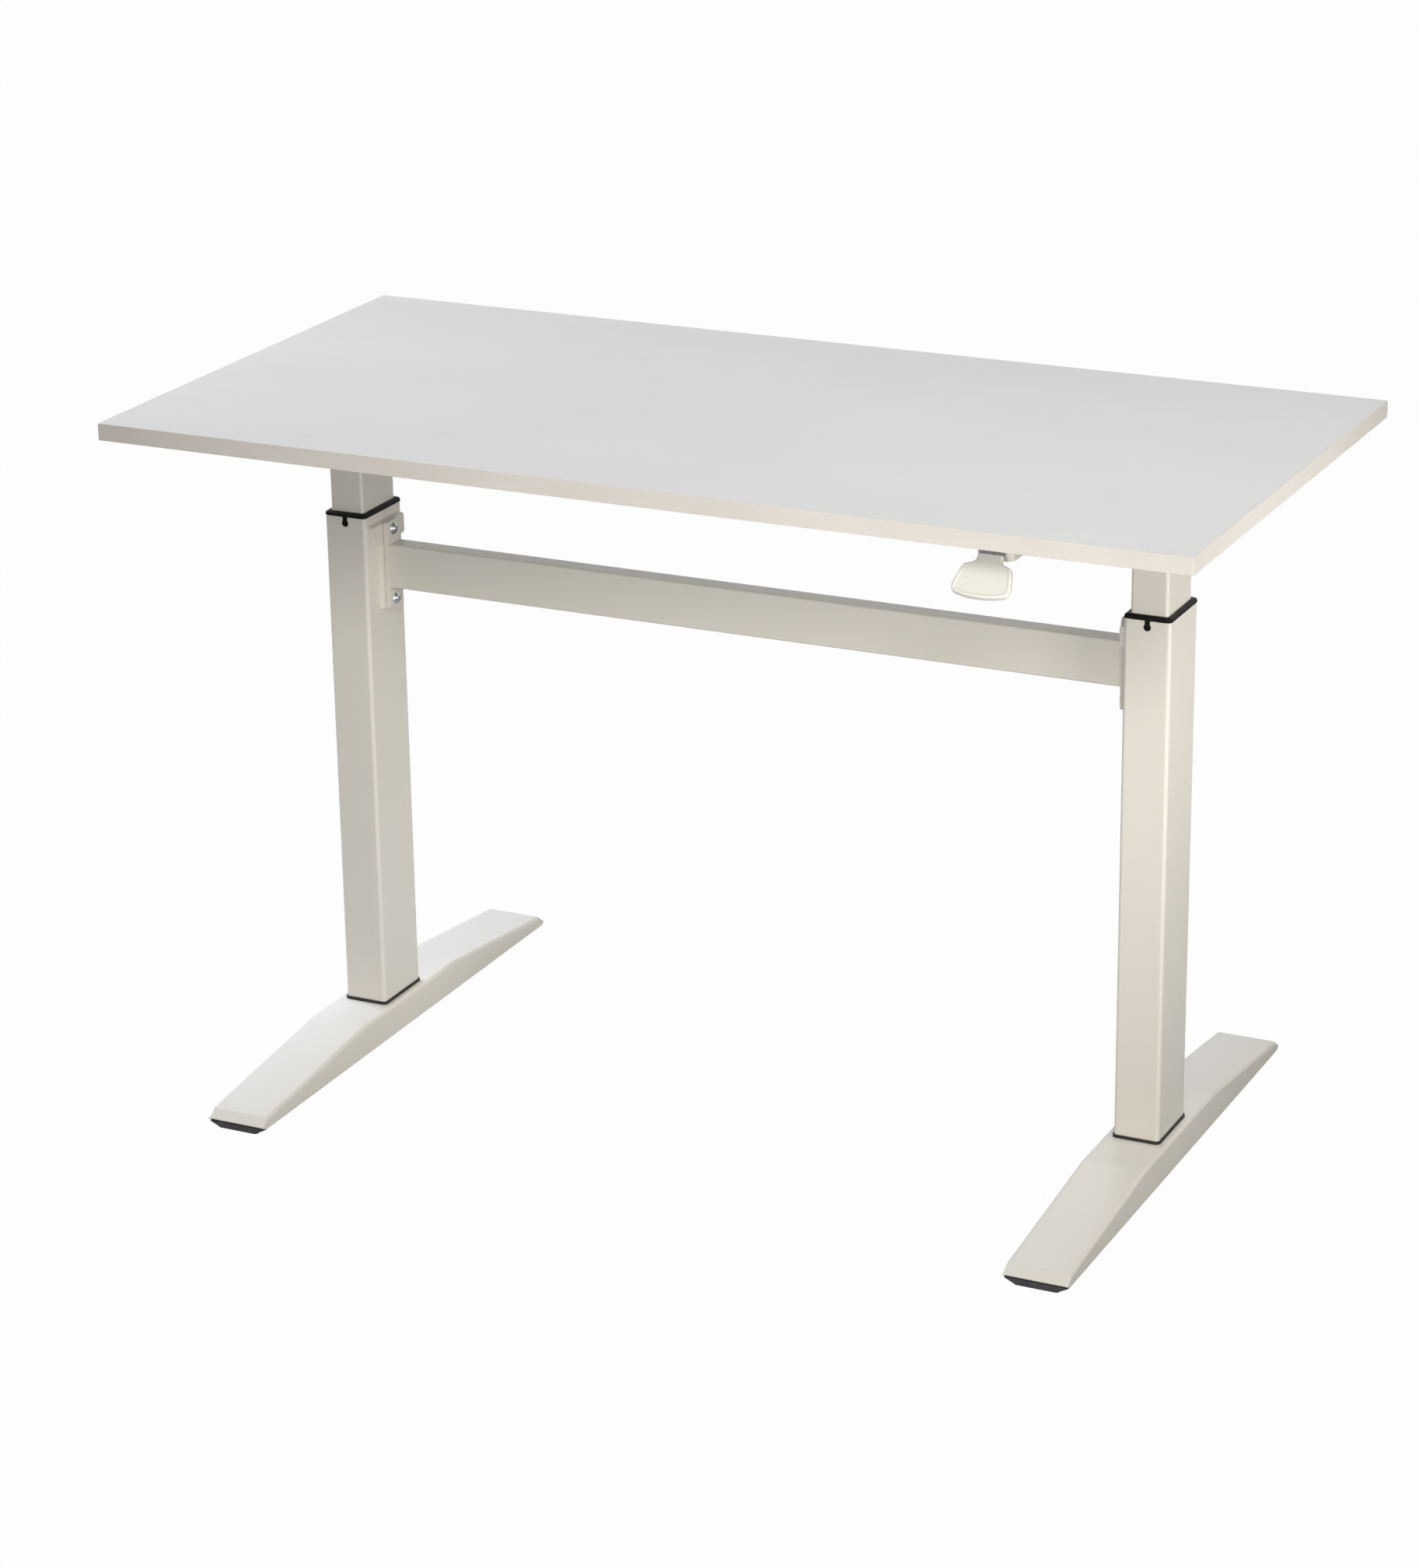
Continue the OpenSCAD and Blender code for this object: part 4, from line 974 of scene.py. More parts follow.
@dataclass
class Foot:
    """One pressed steel foot: an open channel that tapers to a folded nose at both ends.

    The channel is one bent sheet. The nose flap folds down over the ends of the side walls, with a
    fine groove between them.
    """

    side: Side
    half_w: float = 35 * MM
    wall: float = 2 * MM
    bend: float = 4 * MM
    bend_steps: int = 8
    height: float = 42 * MM
    level: float = 105 * MM
    soft: float = 9 * MM
    crease: float = 315.5 * MM
    reach: float = 325.5 * MM
    crease_h: float = 19 * MM
    tip_h: float = 11 * MM
    under: float = 7 * MM
    tip_under: float = 10 * MM
    flap_gap: float = 0.4 * MM
    flap_root: float = 5.5 * MM
    flap_steps: int = 6
    fold_r: float = 2.2 * MM
    slit: float = 0.7 * MM
    groove: float = 0.7 * MM
    clear: float = 0.02 * MM

    def top(self, y: float) -> float:
        """Height of the foot's upper face, with a soft crease at each end of its level part.

        Args:
            y: Distance from the foot's middle.

        Returns:
            The height above the floor.
        """
        y = abs(y)
        slope = (self.height - self.crease_h) / (self.crease - self.level)
        ramp = self.height - slope * (y - self.level)
        if y >= self.level + self.soft:
            return ramp
        mix = smoothstep(self.level - self.soft, self.level + self.soft, y)
        return self.height * (1 - mix) + min(self.height, ramp) * mix

    def section(self, y: float) -> list[Point]:
        """Closed outline of the sheet across the foot, its outer skin first.

        Args:
            y: Distance from the foot's middle.

        Returns:
            Points of the outline.
        """
        flat, edge = self.half_w - self.bend, self.half_w - self.wall
        crown = self.top(y) - self.bend
        inner_r, steps = self.bend - self.wall, self.bend_steps
        outline = [
            (-self.half_w, self.under),
            *arc((-flat, crown), self.bend, 180, 90, steps),
            *arc((flat, crown), self.bend, 90, 0, steps),
            (self.half_w, self.under),
            (edge, self.under),
            *arc((flat, crown), inner_r, 0, 90, steps),
            *arc((-flat, crown), inner_r, 90, 180, steps),
            (-edge, self.under),
        ]
        return [(self.side.middle_x + x, y, z) for x, z in outline]

    def channel(self, draft: Draft) -> None:
        """Adds the bent sheet between the two noses, with more sections at the soft creases.

        Args:
            draft: Mesh of the foot.
        """
        spots = [self.crease, *(d * MM for d in (285, 240, 200, 160, 130))]
        spots += [self.level + d * MM for d in (10, 7, 4, 2, 0, -2, -4, -7, -10)]
        spots += [70 * MM, 35 * MM]
        line = [-s for s in spots] + [0.0] + spots[::-1]
        draft.loft([self.section(y) for y in line])

    def flap_profile(self) -> list[Flat]:
        """Side view of the nose flap.

        Returns:
            Points in Y and Z, along the upper skin to the tip and back along the lower one.
        """
        r = self.fold_r
        slope = math.atan2(self.height - self.crease_h, self.crease - self.level)
        fold = math.atan2(self.crease_h - self.tip_h, self.reach - self.crease)
        run = r * math.tan((fold - slope) / 2)
        start = (self.crease - run * math.cos(slope), self.crease_h + run * math.sin(slope))
        centre = (start[0] - r * math.sin(slope), start[1] - r * math.cos(slope))
        first, last = 90 - math.degrees(slope), 90 - math.degrees(fold)
        root = self.crease - self.flap_root
        return [
            (root, self.top(root) + self.clear),
            *arc(centre, r, first, last, self.flap_steps),
            (self.reach, self.tip_h),
            (self.reach + 0.15 * MM, self.tip_h - 0.9 * MM),
            (self.reach - 1.5 * MM, self.tip_under - 0.6 * MM),
            (self.crease - 1.2 * MM, self.crease_h - 1.05 * self.wall),
            (root, self.top(root) - self.wall),
        ]

    def nose(self, draft: Draft, end: int) -> None:
        """Adds the flap of one nose, folded down between the side walls.

        Its sides curve down with the bends of the channel, less and less towards the tip.

        Args:
            draft: Mesh of the foot.
            end: 1 for the back nose, -1 for the front one.
        """
        profile = self.flap_profile()
        flat = self.half_w - self.bend
        side = self.bend - self.flap_gap
        tip_curve = 0.12
        turns = [math.pi / 2 * i / self.flap_steps for i in range(self.flap_steps + 1)]
        spots = [flat + side * math.sin(a) for a in turns]
        rows = []
        for x in [-v for v in reversed(spots)] + spots:
            drop = self.bend - math.sqrt(self.bend**2 - max(abs(x) - flat, 0.0) ** 2)
            row = []
            for y, z in profile:
                share = clamp((self.reach - y) / (self.reach - self.crease))
                curve = drop * (tip_curve + (1 - tip_curve) * share)
                row.append((self.side.middle_x + x, end * y, z + self.clear - curve))
            rows.append(row)
        draft.loft(rows)

    def cheek(self, draft: Draft, end: int, edge: int) -> None:
        """Adds the part of one side wall that runs on beside the flap, with the groove's floor.

        Args:
            draft: Mesh of the foot.
            end: 1 for the back nose, -1 for the front one.
            edge: 1 for the wall with the higher X, -1 for the other one.
        """
        outer = edge * (self.half_w - self.clear)
        inner = edge * (self.half_w - self.wall)
        dy, dz = self.reach - self.crease, self.tip_h - self.crease_h
        length = math.hypot(dy, dz)
        for back, draw in ((self.wall + self.slit, 0.0), (self.wall * 0.8, self.groove)):
            high = (self.crease + dz / length * back, self.crease_h - dy / length * back)
            far = (high[0] + dy, high[1] + dz)
            low = self.under + draw / 2
            profile = [
                (self.crease - 2 * MM, low),
                (self.crease - 2 * MM, self.crease_h - self.bend - draw / 2),
                (high[0] + 0.25 * dy, high[1] + 0.25 * dz),
                (far[0] - 0.3 * MM, far[1] + 0.2 * MM),
                (far[0] - 1.0 * MM, far[1] - 0.6 * MM + draw / 2),
                (self.crease + 2 * MM, low),
            ]
            skins = (self.side.middle_x + x for x in (inner, outer - edge * draw))
            draft.loft([[(x, end * y, z) for y, z in profile] for x in skins])

    def build(self) -> bpy.types.Object:
        """Makes the foot, riding on the stand.

        Returns:
            The foot.
        """
        draft = Draft()
        self.channel(draft)
        for end in (-1, 1):
            self.nose(draft, end)
            for edge in (-1, 1):
                self.cheek(draft, end, edge)
        made = draft.build(f"pressed_foot_{self.side.word}", Finishes.powder_coat, 40)
        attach(made, Body.STAND.value)
        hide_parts(f"foot_{self.side.word}")
        return made


@dataclass
class Collar:
    """The guide collar of one column: a rounded lip, its skirt and two flush snap keys."""

    side: Side
    top_z: float = 613 * MM
    outer_w: float = 50 * MM
    outer_d: float = 80 * MM
    outer_r: float = 4 * MM
    overhang: float = 0.7 * MM
    hole_w: float = 40.2 * MM
    hole_d: float = 70.2 * MM
    hole_r: float = 3.6 * MM
    corner_steps: int = 8
    lip_h: float = 5 * MM
    skirt: float = 40 * MM
    wall: float = 1.5 * MM
    play: float = 0.06 * MM
    key_r: float = 4 * MM
    key_drop: float = 7 * MM
    key_neck: float = 5.8 * MM
    key_steps: int = 28

    def outer_ring(self, grow: float, z: float) -> list[Point]:
        """Ring of the outer skin.

        Args:
            grow: How far it stands proud of the tube's face.
            z: Its height.

        Returns:
            Points of the ring.
        """
        outline = rounded_box_outline(
            self.outer_w + 2 * grow,
            self.outer_d + 2 * grow,
            max(self.outer_r + grow, 1.2 * MM),
            self.corner_steps,
        )
        return [(self.side.middle_x + x, y, z) for x, y in outline]

    def bore_ring(self, grow: float, z: float) -> list[Point]:
        """Ring of the bore round the inner tube.

        Args:
            grow: How much wider it is than the bore, on each side.
            z: Its height.

        Returns:
            Points of the ring.
        """
        outline = rounded_box_outline(
            self.hole_w + 2 * grow, self.hole_d + 2 * grow, self.hole_r + grow, self.corner_steps
        )
        return [(self.side.middle_x + x, y, z) for x, y in outline]

    def key(self, draft: Draft, face: int) -> None:
        """Adds one keyhole-shaped snap key, flush with the tube and soft at its rim.

        Args:
            draft: Mesh of the collar.
            face: 1 for the tube's back face, -1 for its front face.
        """
        half = self.key_neck / 2
        start = math.degrees(math.acos(half / self.key_r))
        neck_end = self.key_r * math.sin(math.radians(start)) + 1e-6
        bulb = arc((0.0, 0.0), self.key_r, start, -180 - start, self.key_steps)
        neck = self.key_drop + 0.3 * MM
        rings = []
        for shrink, proud in ((0.1, -2.5), (0.1, -0.2), (0.25, 0.05), (0.6, 0.15)):
            y = face * (self.outer_d / 2 + proud * MM)
            scale = (self.key_r - shrink * MM) / self.key_r
            row = []
            for x, z in [(half, neck), *bulb, (-half, neck)]:
                if z > neck_end:
                    x -= math.copysign(shrink * MM, x)
                else:
                    x, z = x * scale, z * scale
                row.append((self.side.middle_x + x, y, self.top_z - self.key_drop + z))
            rings.append(row)
        draft.loft(rings)

    def build(self) -> bpy.types.Object:
        """Makes the collar, riding on the stand.

        Returns:
            The collar.
        """
        inside = -self.wall - self.play
        lip = [
            (inside, -self.skirt),
            (inside, 0.05 * MM),
            (-0.35 * MM, 0.05 * MM),
            (self.overhang - 0.35 * MM, 0.25 * MM),
            (self.overhang, 0.9 * MM),
            (self.overhang, 2.2 * MM),
            (self.overhang - 0.35 * MM, 3.3 * MM),
            (self.overhang - 1.1 * MM, 4.2 * MM),
            (self.overhang - 2.2 * MM, self.lip_h - 0.2 * MM),
            (self.overhang - 3.2 * MM, self.lip_h),
        ]
        bore = [(0.5 * MM, self.lip_h), (0.0, self.lip_h - 0.6 * MM), (0.0, -self.skirt)]
        draft = Draft()
        draft.hoop(
            [self.outer_ring(grow, self.top_z + z) for grow, z in lip]
            + [self.bore_ring(grow, self.top_z + z) for grow, z in bore]
        )
        for face in (-1, 1):
            self.key(draft, face)
        made = draft.build(f"guide_collar_{self.side.word}", Finishes.nylon, 50)
        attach(made, Body.STAND.value)
        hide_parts(f"collar_{self.side.word}")
        return made


@dataclass
class TeeBracket:
    """The pressed tee pan on the inner face of one column, with drafted walls and soft edges.

    The bar's flange rests on two low bosses round the bolts, so a fine dark gap shows behind it.
    """

    side: Side
    face: float = 437.5 * MM
    depth: float = 7 * MM
    head_w: float = 72 * MM
    head_h: float = 25 * MM
    stem_w: float = 26.5 * MM
    top: float = 603.5 * MM
    bottom: float = 501.5 * MM
    corner: float = 5 * MM
    fillet: float = 5 * MM
    corner_steps: int = 6
    root: float = 0.3 * MM
    root_h: float = 0.5 * MM
    draft: float = 0.9 * MM
    rim: float = 1.4 * MM
    rim_steps: int = 5
    gap: float = 0.7 * MM
    boss_r: float = 7.5 * MM
    boss_h: float = 3 * MM
    boss_steps: int = 24
    bolts: Flat = (514 * MM, 594 * MM)

    def ring(self, outline: Sequence[Flat], out: float) -> list[Point]:
        """Places an outline in Y and Z at a distance `out` from the column's face."""
        x = self.side.value * (self.face - out)
        return [(x, y, z) for y, z in outline]

    def outline(self, inset: float) -> list[Flat]:
        """Outline of the pan.

        Args:
            inset: How far it is drawn in.

        Returns:
            Its points in Y and Z.
        """
        head, stem = self.head_w / 2 - inset, self.stem_w / 2 - inset
        top, low = self.top - inset, self.top - self.head_h + inset
        bottom = self.bottom + inset
        r, f = max(self.corner - inset, 0.5 * MM), self.fillet + inset
        turns = [
            ((r - head, top - r), r, 180, 90),
            ((head - r, top - r), r, 90, 0),
            ((head - r, low + r), r, 0, -90),
            ((stem + f, low - f), f, 90, 180),
            ((stem - r, bottom + r), r, 0, -90),
            ((r - stem, bottom + r), r, -90, -180),
            ((-stem - f, low - f), f, 0, 90),
            ((r - head, low + r), r, -90, -180),
        ]
        return [point for turn in turns for point in arc(*turn, self.corner_steps)]

    def build(self) -> bpy.types.Object:
        """Makes the pan, riding on the stand.

        Returns:
            The pan.
        """
        draft = Draft()
        rings = [
            self.ring(self.outline(-self.root), 0.0),
            self.ring(self.outline(0.0), self.root_h),
        ]
        level = self.depth - self.gap - self.rim
        for inward, out in arc((self.draft + self.rim, level), self.rim, 180, 90, self.rim_steps):
            rings.append(self.ring(self.outline(inward), out))
        draft.loft(rings)
        for z in self.bolts:
            boss = circle(self.boss_r, self.boss_steps, (0.0, z))
            draft.loft([self.ring(boss, out) for out in (self.depth - self.boss_h, self.depth)])
        made = draft.build(f"tee_pan_{self.side.word}", Finishes.powder_coat, 45)
        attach(made, Body.STAND.value)
        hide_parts(f"tee_bracket_{self.side.word}")
        return made


@dataclass
class FootPads:
    """The four moulded pads: tapered blocks with soft edges, tucked up inside the noses."""

    column_x: float
    foot_end: float
    half_top: float = 34.5 * MM
    half_bottom: float = 24.8 * MM
    shoulder: float = 6.9 * MM
    height: float = 10.1 * MM
    length: float = 49 * MM
    setback: float = 0.6 * MM
    long_taper: float = 1.2 * MM
    corner: float = 4 * MM
    neck: float = 2.6 * MM
    plug_top: float = 15 * MM
    plug_inset: Flat = (10 * MM, 12 * MM)
    plug_back: float = 3 * MM
    plug_corner: float = 3 * MM

    def block(self, draft: Draft, x0: float, end: int) -> None:
        """Adds one pad: the nose's walls stand on its shoulder and its neck fits between them.

        Args:
            draft: Mesh of the pads.
            x0: Middle of the foot.
            end: 1 for the back nose, -1 for the front one.
        """
        middle = end * (self.foot_end - self.setback - self.length / 2)
        # Each step: its share of the way from the bottom's width to the top's, its inset, its Z.
        steps = [
            (0.0, 1.3 * MM, 0.0),
            (0.0, 0.45 * MM, 0.35 * MM),
            (0.0, 0.0, 1.2 * MM),
            (0.93, 0.0, self.shoulder - 0.75 * MM),
            (1.0, 0.0, self.shoulder - 0.3 * MM),
            (1.0, 0.3 * MM, self.shoulder),
            (1.0, self.neck, self.shoulder + 0.1 * MM),
            (1.0, self.neck, self.height),
        ]
        rings = []
        for share, inset, z in steps:
            half = self.half_bottom + (self.half_top - self.half_bottom) * share - inset
            long = self.length / 2 - self.long_taper * (1 - share) - inset
            outline = rounded_box_outline(2 * half, 2 * long, self.corner, 5)
            rings.append([(x0 + x, middle + y, z) for x, y in outline])
        draft.loft(rings)
        width = 2 * self.half_top - self.plug_inset[0]
        plug = rounded_box_outline(width, self.length - self.plug_inset[1], self.plug_corner, 4)
        y0 = middle - end * self.plug_back
        levels = (self.height - 1 * MM, self.plug_top)
        draft.loft([[(x0 + x, y0 + y, z) for x, y in plug] for z in levels])

    def build(self) -> bpy.types.Object:
        """Makes the pads, riding on the stand.

        Returns:
            The four pads as one piece.
        """
        draft = Draft()
        for side in Side:
            for end in (-1, 1):
                self.block(draft, side.value * self.column_x, end)
        made = draft.build("moulded_pads", Finishes.pad_rubber, 50)
        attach(made, Body.STAND.value)
        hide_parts("foot_pads")
        return made


@dataclass
class WeldBeads:
    """Welds of the frame: rippled tacks round the tee pans, beads where bar and flanges meet.

    `tee` holds the pan's half widths at head and stem, then the Z of its head's and stem's lower
    edges. `bar` holds the bar's half depth and the Z of its lower and upper faces.
    """

    face: float
    tee: tuple[float, float, float, float]
    bar: tuple[float, float, float]
    radius: float = 1.1 * MM
    ripple: float = 1.4 * MM
    sunk: float = 0.2 * MM
    flange: float = 12.6 * MM
    bar_corner: float = 2.5 * MM

    def bead(self, draft: Draft, one: Point, two: Point) -> None:
        """Adds one straight bead, its skin waving once for each ripple.

        Args:
            draft: Mesh of the beads.
            one: Where it starts.
            two: Where it ends.
        """
        start, end = Vector(one), Vector(two)
        total = (end - start).length
        count = max(int(total / self.ripple * 4), 4)
        spots = [start.lerp(end, i / count) for i in range(count + 1)]

        def swell(i: int) -> float:
            """Radius of the bead: rippled, and drawn in at its two ends.

            Args:
                i: Number of the point along the bead.

            Returns:
                The radius there.
            """
            t = i / count
            wave = 0.86 + 0.14 * math.cos(2 * math.pi * t * total / self.ripple)
            return self.radius * wave * math.sqrt(max(1 - (2 * t - 1) ** 8, 0.02))

        tube(draft, spots, swell, 10)

    def build(self) -> bpy.types.Object:
        """Makes all the beads, riding on the stand.

        Returns:
            The beads as one piece.
        """
        draft = Draft()
        head, stem, low, bottom = self.tee
        half_y, bar_low, bar_top = self.bar
        under_head = (head - 5 * MM, head - 15 * MM)
        beside_stem = ((bottom + 8 * MM, bottom + 24 * MM), (low - 32 * MM, low - 16 * MM))
        for side in (-1, 1):
            x = side * (self.face - self.sunk)
            for edge in (-1, 1):
                out, back = (edge * y for y in under_head)
                self.bead(draft, (x, out, low), (x, back, low))
                for z0, z1 in beside_stem:
                    self.bead(draft, (x, edge * stem, z0), (x, edge * stem, z1))
            x, y = side * (self.face - self.flange), half_y - self.bar_corner
            for z in (bar_top, bar_low):
                self.bead(draft, (x, -y, z), (x, y, z))
        made = draft.build("weld_beads", Finishes.powder_coat, None)
        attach(made, Body.STAND.value)
        return made


@dataclass
class Paddle:
    """The release paddle: a pressed sheet with a neck, a shallow dish and a turned-down edge.

    Its own plane has x across, s down from the hinge and n out of the upper face.
    """

    hinge: Point
    tilt: float = 45.0
    neck_start: float = 19.4 * MM
    neck_w: float = 26 * MM
    flare: float = 26.9 * MM
    shoulder: Flat = (24.4 * MM, 31.4 * MM)
    hip: Flat = (27.0 * MM, 38.6 * MM)
    widest: Flat = (30.3 * MM, 54.6 * MM)
    corner: Flat = (28.8 * MM, 61.0 * MM)
    corner_radii: tuple[float, ...] = (5 * MM, 4 * MM, 9 * MM, 9 * MM, 5 * MM)
    corner_run: Flat = (-7 * MM, 3.2 * MM)
    corner_steps: int = 6
    front: float = 66.0 * MM
    front_steps: int = 14
    front_bow: float = 2.4
    rim: float = 3.2 * MM
    floor: float = 2.5 * MM
    crown: float = 0.2 * MM
    crown_w: float = 14 * MM
    dish_s: Flat = (-1 * MM, 13 * MM)
    dish_edge: Flat = (1.8 * MM, 4.4 * MM)
    skirt: float = -2.8 * MM
    sheet: float = 1.5 * MM
    edge_r: float = 1.9 * MM
    hole_x: float = 17.3 * MM
    hole_s: float = 46.4 * MM
    hole_r: float = 1.25 * MM
    hole_steps: int = 20
    punch: float = 6 * MM
    sharp_angle: float = 50

    def outline(self) -> list[Flat]:
        """Edge of the paddle in its own plane, from neck to neck.

        Returns:
            Points in x and s, with positive x first.
        """
        half = self.neck_w / 2
        right = self.fillet(
            [(half, self.flare), self.shoulder, self.hip, self.widest, self.corner],
            (half, self.neck_start),
            (self.corner[0] + self.corner_run[0], self.corner[1] + self.corner_run[1]),
        )
        end_x, end_s = right[-1]
        bow = []
        for i in range(1, self.front_steps):
            t = 1 - 2 * i / self.front_steps
            bow.append((end_x * t, self.front + (end_s - self.front) * abs(t) ** self.front_bow))
        left = [(-x, s) for x, s in reversed(right)]
        return [(half, self.neck_start), *right, *bow, *left, (-half, self.neck_start)]

    def fillet(self, corners: Sequence[Flat], before: Flat, after: Flat) -> list[Flat]:
        """Rounds the corners of a line of points by the paddle's radii.

        Args:
            corners: The corner points in order.
            before: Point that the line comes from.
            after: Point that the line goes to.

        Returns:
            The rounded line.
        """
        chain = [Vector(before), *(Vector(c) for c in corners), Vector(after)]
        made: list[Flat] = []
        for i, radius in enumerate(self.corner_radii, start=1):
            here = chain[i]
            back, ahead = (chain[i - 1] - here), (chain[i + 1] - here)
            room = min(back.length, ahead.length) * 0.48
            back.normalize()
            ahead.normalize()
            half = math.acos(clamp(back.dot(ahead), -1.0, 1.0)) / 2
            reach = min(radius / math.tan(half), room)
            start, end = here + back * reach, here + ahead * reach
            for k in range(self.corner_steps + 1):
                t = k / self.corner_steps
                point = start * (1 - t) ** 2 + here * 2 * t * (1 - t) + end * t**2
                made.append((point.x, point.y))
        return made

    def place(self, x: float, s: float, n: float) -> Point:
        """Moves a point of the paddle's plane to the desk.

        Args:
            x: Distance across.
            s: Distance down from the hinge.
            n: Distance out of the upper face.

        Returns:
            The point in the frame.
        """
        a = math.radians(self.tilt)
        y, z = -s * math.cos(a) - n * math.sin(a), -s * math.sin(a) + n * math.cos(a)
        return (self.hinge[0] + x, self.hinge[1] + y, self.hinge[2] + z)

    def inward(self, line: Sequence[Flat], distance: float) -> list[Flat]:
        """Draws the edge in; its two ends stay at the top of the neck.

        Args:
            line: The edge.
            distance: How far it is drawn in.

        Returns:
            The new line, with as many points.
        """
        made = []
        last = len(line) - 1
        for i, here in enumerate(line):
            one, two = Vector(line[max(i - 1, 0)]), Vector(line[min(i + 1, last)])
            run = (two - one).normalized()
            point = Vector(here) + Vector((-run.y, run.x)) * distance
            s = self.neck_start if i in (0, last) else max(point.y, self.neck_start)
            made.append((point.x, s))
        return made

    @staticmethod
    def depth_in(point: Flat, line: Sequence[Flat]) -> float:
        """Distance from a point to the edge of the paddle.

        Args:
            point: The point.
            line: The edge.

        Returns:
            The distance to its nearest part.
        """
        here = Vector(point)
        best = 1.0
        for one, two in zip(line, line[1:]):
            start, run = Vector(one), Vector(two) - Vector(one)
            share = clamp((here - start).dot(run) / max(run.length_squared, 1e-12))
            best = min(best, (here - start - run * share).length)
        return best

    def height(self, distance: float, s: float) -> float:
        """Height of the upper skin.

        Args:
            distance: Distance inside the edge.
            s: Distance down from the hinge.

        Returns:
            The height, with the dish sunk between rim and middle.
        """
        sunk = smoothstep(self.flare + self.dish_s[0], self.flare + self.dish_s[1], s)
        sunk *= smoothstep(*self.dish_edge, distance)
        crown = self.crown * (1 - smoothstep(0.0, self.crown_w, distance)) * (1 - sunk)
        return self.rim - (self.rim - self.floor) * sunk - crown

    def skin(self, draft: Draft, depth: float) -> list[list[int]]:
        """Adds the rows of one skin of the sheet, from the skirt to the middle.

        Args:
            draft: Mesh that gets the points.
            depth: How far the skin lies under the upper face.

        Returns:
            The numbers of each row's points.
        """
        line = self.outline()
        near = self.inward(line, self.edge_r)
        turn_s = self.front - 24 * MM
        middle = [(x * 0.15, min(s, turn_s) + max(s - turn_s, 0.0) * 0.3) for x, s in line]
        top = self.height(0.0, 0.0)
        radius = self.edge_r - depth
        rows = [draft.ring(self.place(x, s, self.skirt) for x, s in self.inward(line, depth))]
        for turn in range(0, 90, 15):
            a = math.radians(turn)
            level = top - self.edge_r + radius * math.sin(a)
            edge = self.inward(line, self.edge_r - radius * math.cos(a))
            rows.append(draft.ring(self.place(x, s, level) for x, s in edge))
        # Shares of the way from the edge to the middle, closer together where the dish sinks.
        for share in (0, 0.03, 0.06, 0.09, 0.12, 0.15, 0.19, 0.24, 0.32, 0.4, 0.5, 0.6, 0.75, 1):
            row = []
            for (x0, s0), (x1, s1) in zip(near, middle):
                spot = (x0 + (x1 - x0) * share, s0 + (s1 - s0) * share)
                level = self.height(self.depth_in(spot, line), spot[1]) - depth
                row.append(self.place(*spot, level))
            rows.append(draft.ring(row))
        return rows

    def build(self) -> bpy.types.Object:
        """Makes the paddle, riding on the paddle body.

        Returns:
            The paddle.
        """
        draft = Draft()
        upper, under = self.skin(draft, 0.0), self.skin(draft, self.sheet)
        for rows in (upper, under):
            for one, two in zip(rows, rows[1:]):
                draft.bridge(one, two, closed=False)
            last = rows[-1]
            for i in range(len(last) // 2):
                draft.faces.append((last[i], last[i + 1], last[-2 - i], last[-1 - i]))
        draft.bridge(upper[0], under[0], closed=False)
        for end in (0, -1):
            for k in range(len(upper) - 1):
                corners = (upper[k], upper[k + 1], under[k + 1], under[k])
                draft.faces.append(tuple(row[end] for row in corners))
        draft.faces.append((upper[-1][0], upper[-1][-1], under[-1][-1], under[-1][0]))
        # The paddle's finish is the powder coat painted lighter, as painted light.
        made = draft.build("release_paddle", Finishes.lit_paddle_coat, 70)
        self.pierce(made)
        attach(made, Body.PADDLE.value)
        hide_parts("paddle")
        return made

    def pierce(self, obj: bpy.types.Object) -> None:
        """Cuts the two small holes through the sheet.

        Args:
            obj: The paddle.
        """
        punches = Draft()
        for side in (-1, 1):
            hole = circle(self.hole_r, self.hole_steps, (side * self.hole_x, self.hole_s))
            ends = (-self.punch, self.punch)
            punches.loft([[self.place(x, s, n) for x, s in hole] for n in ends])
        cut_out(obj, punches.build("paddle_punches", Finishes.lit_paddle_coat))
        work = bmesh.new()
        work.from_mesh(obj.data)
        mark_sharp(work, self.sharp_angle)
        work.to_mesh(obj.data)
        work.free()


